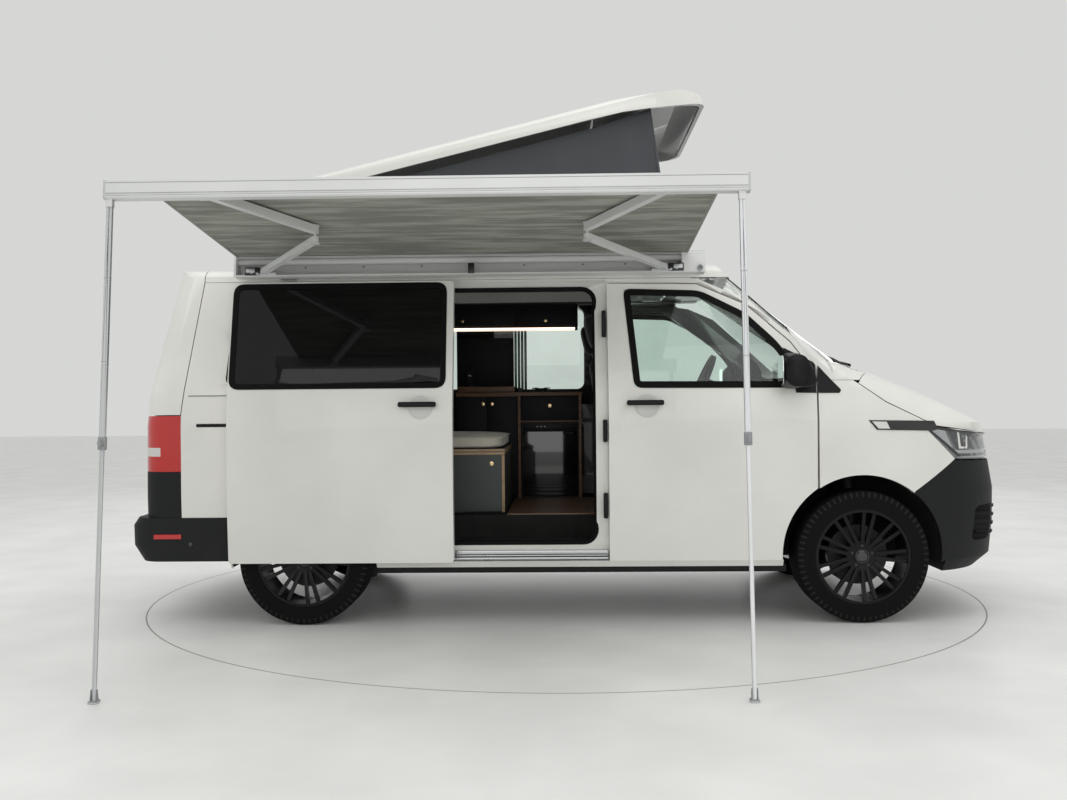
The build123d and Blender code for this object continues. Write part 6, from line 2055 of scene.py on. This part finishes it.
@dataclass
class Seats:
    """The two front seats: base, back, bolsters, headrest and stitching."""

    offset: float = 0.455
    half: float = 0.235
    lean: float = math.radians(-13.3)
    hinge: Point = (0.262, 0.0, 0.900)

    def build(self) -> None:
        """Builds both seats over their CAD solids."""
        pieces = []
        for side, label in SIDE_NAMES.items():
            pieces += self.seat(label, side * self.offset)
        for piece in pieces:
            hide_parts("front_seats")

    def seat(self, label: str, y: float) -> list[bpy.types.Object]:
        """Builds one seat.

        Args:
            label: The side's name.
            y: The seat's middle.

        Returns:
            Its pieces.
        """
        lean = Matrix.Translation(Vector(self.hinge) + Vector((0, y, 0))) @ Matrix.Rotation(self.lean, 4, "Y")
        base = pad((0.315, y - 0.165, 0.772), (0.850, y + 0.165, 0.915), 0.014, 5.0, 0.01)
        back = pad((-0.058, -0.150, 0.03), (0.045, 0.150, 0.580), 0.0, 5.0, 0.01).shift(lean)
        pads = [(base, f"seat_base_{label}"), (back, f"seat_back_{label}")]
        for sign, side in ((-1, "outer"), (1, "inner")):
            low, high = sorted((sign * 0.150, sign * self.half))
            wing = pad((-0.060, low, 0.02), (0.066, high, 0.545), 0.0, 3.6, 0.01).shift(lean)
            pads.append((wing, f"seat_wing_{side}_{label}"))
            low, high = sorted((y + sign * 0.160, y + sign * self.half))
            edge = pad((0.310, low, 0.765), (0.845, high, 0.926), 0.004, 3.6, 0.01)
            pads.append((edge, f"seat_edge_{side}_{label}"))
        rest = pad((-0.055, -0.125, 0.625), (0.045, 0.125, 0.820), 0.0, 3.6, 0.02).shift(lean)
        pads.append((rest, f"headrest_{label}"))
        made = [cast_pad(mould, name, SEAT_CLOTH, "seat_cloth") for mould, name in pads]
        posts = Mould()
        for offset in (-0.055, 0.055):
            posts.rod((-0.005, offset, 0.55), (-0.005, offset, 0.66), 0.006)
        made.append(posts.shift(lean).cast(f"headrest_posts_{label}", BRIGHT, "body", "steel"))
        stand = Mould().block((0.345, y - 0.215, 0.561), (0.795, y + 0.215, 0.765), 0.012, 3)
        stand.block((0.330, y - 0.222, 0.735), (0.830, y + 0.222, 0.775), 0.010, 3)
        made.append(stand.cast(f"seat_stand_{label}", SATIN_BLACK, "body", "black_plastic"))
        wing, bulge = 0.232, 0.232 * 1.006
        seams = Mould()
        for path in (
            ((0.047, -0.150, 0.06), (0.052, -0.150, 0.30), (0.047, -0.150, 0.54)),
            ((0.047, 0.150, 0.06), (0.052, 0.150, 0.30), (0.047, 0.150, 0.54)),
            ((0.047, -0.15, 0.40), (0.0475, 0.0, 0.40), (0.047, 0.15, 0.40)),
            ((0.004, -wing, 0.08), (0.004, -bulge, 0.28), (0.004, -wing, 0.48)),
            ((0.004, wing, 0.08), (0.004, bulge, 0.28), (0.004, wing, 0.48)),
            ((-0.050, -0.10, 0.70), (-0.0555, 0.0, 0.70), (-0.050, 0.10, 0.70)),
        ):
            seams.tube(path, 0.0016, 6)
        made.append(seams.shift(lean).cast(f"seat_stitching_{label}", STITCH, "body", "seat_cloth"))
        return made


@dataclass
class Cockpit:
    """Dashboard dressing: its vents and screen."""

    @staticmethod
    def build() -> None:
        """Builds the cockpit's visible parts."""
        reshade("dashboard", DASH, 0.002)
        made = Mould()
        for y in (-0.68, -0.10, 0.10, 0.68):
            made.block((0.872, y - 0.055, 1.17), (0.884, y + 0.055, 1.235), 0.006, 3)
        made.cast("dash_vents", GLOSS_BLACK, "body", "dash_plastic")
        screen = Mould().block((0.868, -0.125, 1.02), (0.884, 0.125, 1.15), 0.005, 3)
        screen.cast("dash_screen", GLOSS_BLACK, "body", "gloss_black")


@dataclass
class FloorTrim:
    """The cabin floor, its nosing towards the doorway and the step's mat."""

    @staticmethod
    def build() -> None:
        """Builds the floor covering."""
        boards = Mould()
        for index in range(10):
            low = -0.640 + 0.107 * index
            boards.block((-0.412, low + 0.0006, 0.5602), (0.109, low + 0.1064, 0.5655), 0.0008)
        boards.cast("floor_boards", WALNUT, "body", "birch_ply")
        nosing = Mould().block((-0.412, -0.648, 0.542), (0.109, -0.636, 0.567), 0.003)
        nosing.cast("floor_nosing", WALNUT, "body", "birch_ply")
        mat = Mould().block((-0.660, -0.815, 0.4305), (0.075, -0.655, 0.4345), 0.001)
        for index in range(9):
            y = -0.805 + 0.016 * index
            mat.block((-0.650, y, 0.4340), (0.065, y + 0.006, 0.4368), 0.0008)
        mat.cast("step_mat", RUBBER_MAT, "body", "black_plastic")
        ply = Mould().block((-0.660, -0.500, 0.560), (-0.436, 0.40, 0.566), 0.001)
        ply.cast("floor_under_bench", CHARCOAL, "body", "dark_board")


# --------------------------------------------------------------------------- studio
@dataclass
class Studio:
    """Pale floor with a turntable's line, soft lights and the camera."""

    ceiling_power: float = 235.0
    front_power: float = 120.0
    back_power: float = 95.0
    air_strength: float = 0.84
    ring_centre: tuple[float, float] = (-0.105, 0.169)
    ring_radius: float = 2.499
    floor_half: float = 40.0
    camera_place: Point = (-0.116, -6.777, 1.175)
    yaw: float = math.radians(-1.343)
    pitch: float = math.radians(-0.284)
    roll: float = math.radians(-0.48)
    focal: float = 1088.0
    picture_width: float = 1067.0

    def build(self) -> None:
        """Builds the studio."""
        self.floor()
        self.lights()
        self.camera()

    def floor(self) -> None:
        """A wide floor with the turntable's fine joint drawn on it."""
        half = self.floor_half
        ground = patch(1, 1, lambda u, v: (half * (2 * u - 1), half * (2 * v - 1), -0.001))
        ground.cast("studio_floor", FLOOR, "")
        inner, outer = self.ring_radius - 0.004, self.ring_radius + 0.004
        profile = ((inner, -0.003), (outer, -0.003), (outer, -0.0006), (inner, -0.0006))
        ring = Mould().lathe(profile, (*self.ring_centre, 0.0), steps=256)
        ring.cast("turntable_joint", JOINT_LINE, "")

    def lights(self) -> None:
        """A large soft ceiling light, softer ones in front and behind, and a pale sky."""
        for name, place, aim, size, power in (
            ("ceiling", (0.0, -1.0, 6.2), (0, 0, 0), (11.0, 9.0), self.ceiling_power),
            ("front", (0.5, -9.5, 3.6), (0, 0, 1.1), (9.0, 4.5), self.front_power),
            ("back", (0.0, 8.5, 3.2), (0, 0, 1.1), (9.0, 4.0), self.back_power),
        ):
            lamp = bpy.data.lights.new(name, "AREA")
            lamp.shape = "RECTANGLE"
            lamp.size, lamp.size_y = size
            lamp.energy = power
            made = bpy.data.objects.new(name, lamp)
            bpy.context.scene.collection.objects.link(made)
            made.location = place
            made.rotation_euler = (Vector(aim) - Vector(place)).to_track_quat("-Z", "Y").to_euler()
            made.visible_camera = False
            made.visible_transmission = False
        world = bpy.data.worlds.new("studio_air")
        bpy.context.scene.world = world
        world.use_nodes = True
        graph = Graph(world.node_tree)
        inputs = {"Color": (0.80, 0.81, 0.79, 1.0), "Strength": self.air_strength}
        sky = graph.add("ShaderNodeBackground", inputs)
        graph.add("ShaderNodeOutputWorld", {"Surface": sky.outputs[0]})

    def camera(self) -> None:
        """The camera at the viewing angle, with the plain film response."""
        bpy.context.scene.view_settings.view_transform = "Standard"
        cos, sin = math.cos, math.sin
        ahead = Vector((sin(self.yaw) * cos(self.pitch), cos(self.yaw) * cos(self.pitch), -sin(self.pitch)))
        right = Vector((cos(self.yaw), -sin(self.yaw), 0.0))
        above = right.cross(ahead)
        right, above = (
            cos(self.roll) * right + sin(self.roll) * above,
            cos(self.roll) * above - sin(self.roll) * right,
        )
        lens = bpy.data.cameras.new("studio_camera")
        lens.sensor_fit = "HORIZONTAL"
        lens.sensor_width = 36.0
        lens.lens = 36.0 * self.focal / self.picture_width
        lens.clip_end = 200
        made = bpy.data.objects.new("studio_camera", lens)
        bpy.context.scene.collection.objects.link(made)
        turn = Matrix((right, above, -ahead)).transposed().to_4x4()
        made.matrix_world = Matrix.Translation(self.camera_place) @ turn
        bpy.context.scene.camera = made


def main() -> None:
    """Builds the van's sub-assemblies in order."""
    logging.basicConfig(level=logging.INFO, format="%(message)s")
    for assembly in (
        Studio(), Shell(), SideDoors(), FrontEnd(), RearEnd(), PopTop(), Awning(), Wheels(),
        Kitchen(), Locker(), Bench(), Seats(), Cockpit(), FloorTrim(),
    ):
        assembly.build()
        log.info("built %s", type(assembly).__name__)
    for side in SIDE_NAMES.values():
        reshade(f"knuckle_{side}", CASTING, 0.001)


if __name__ == "__main__":
    main()
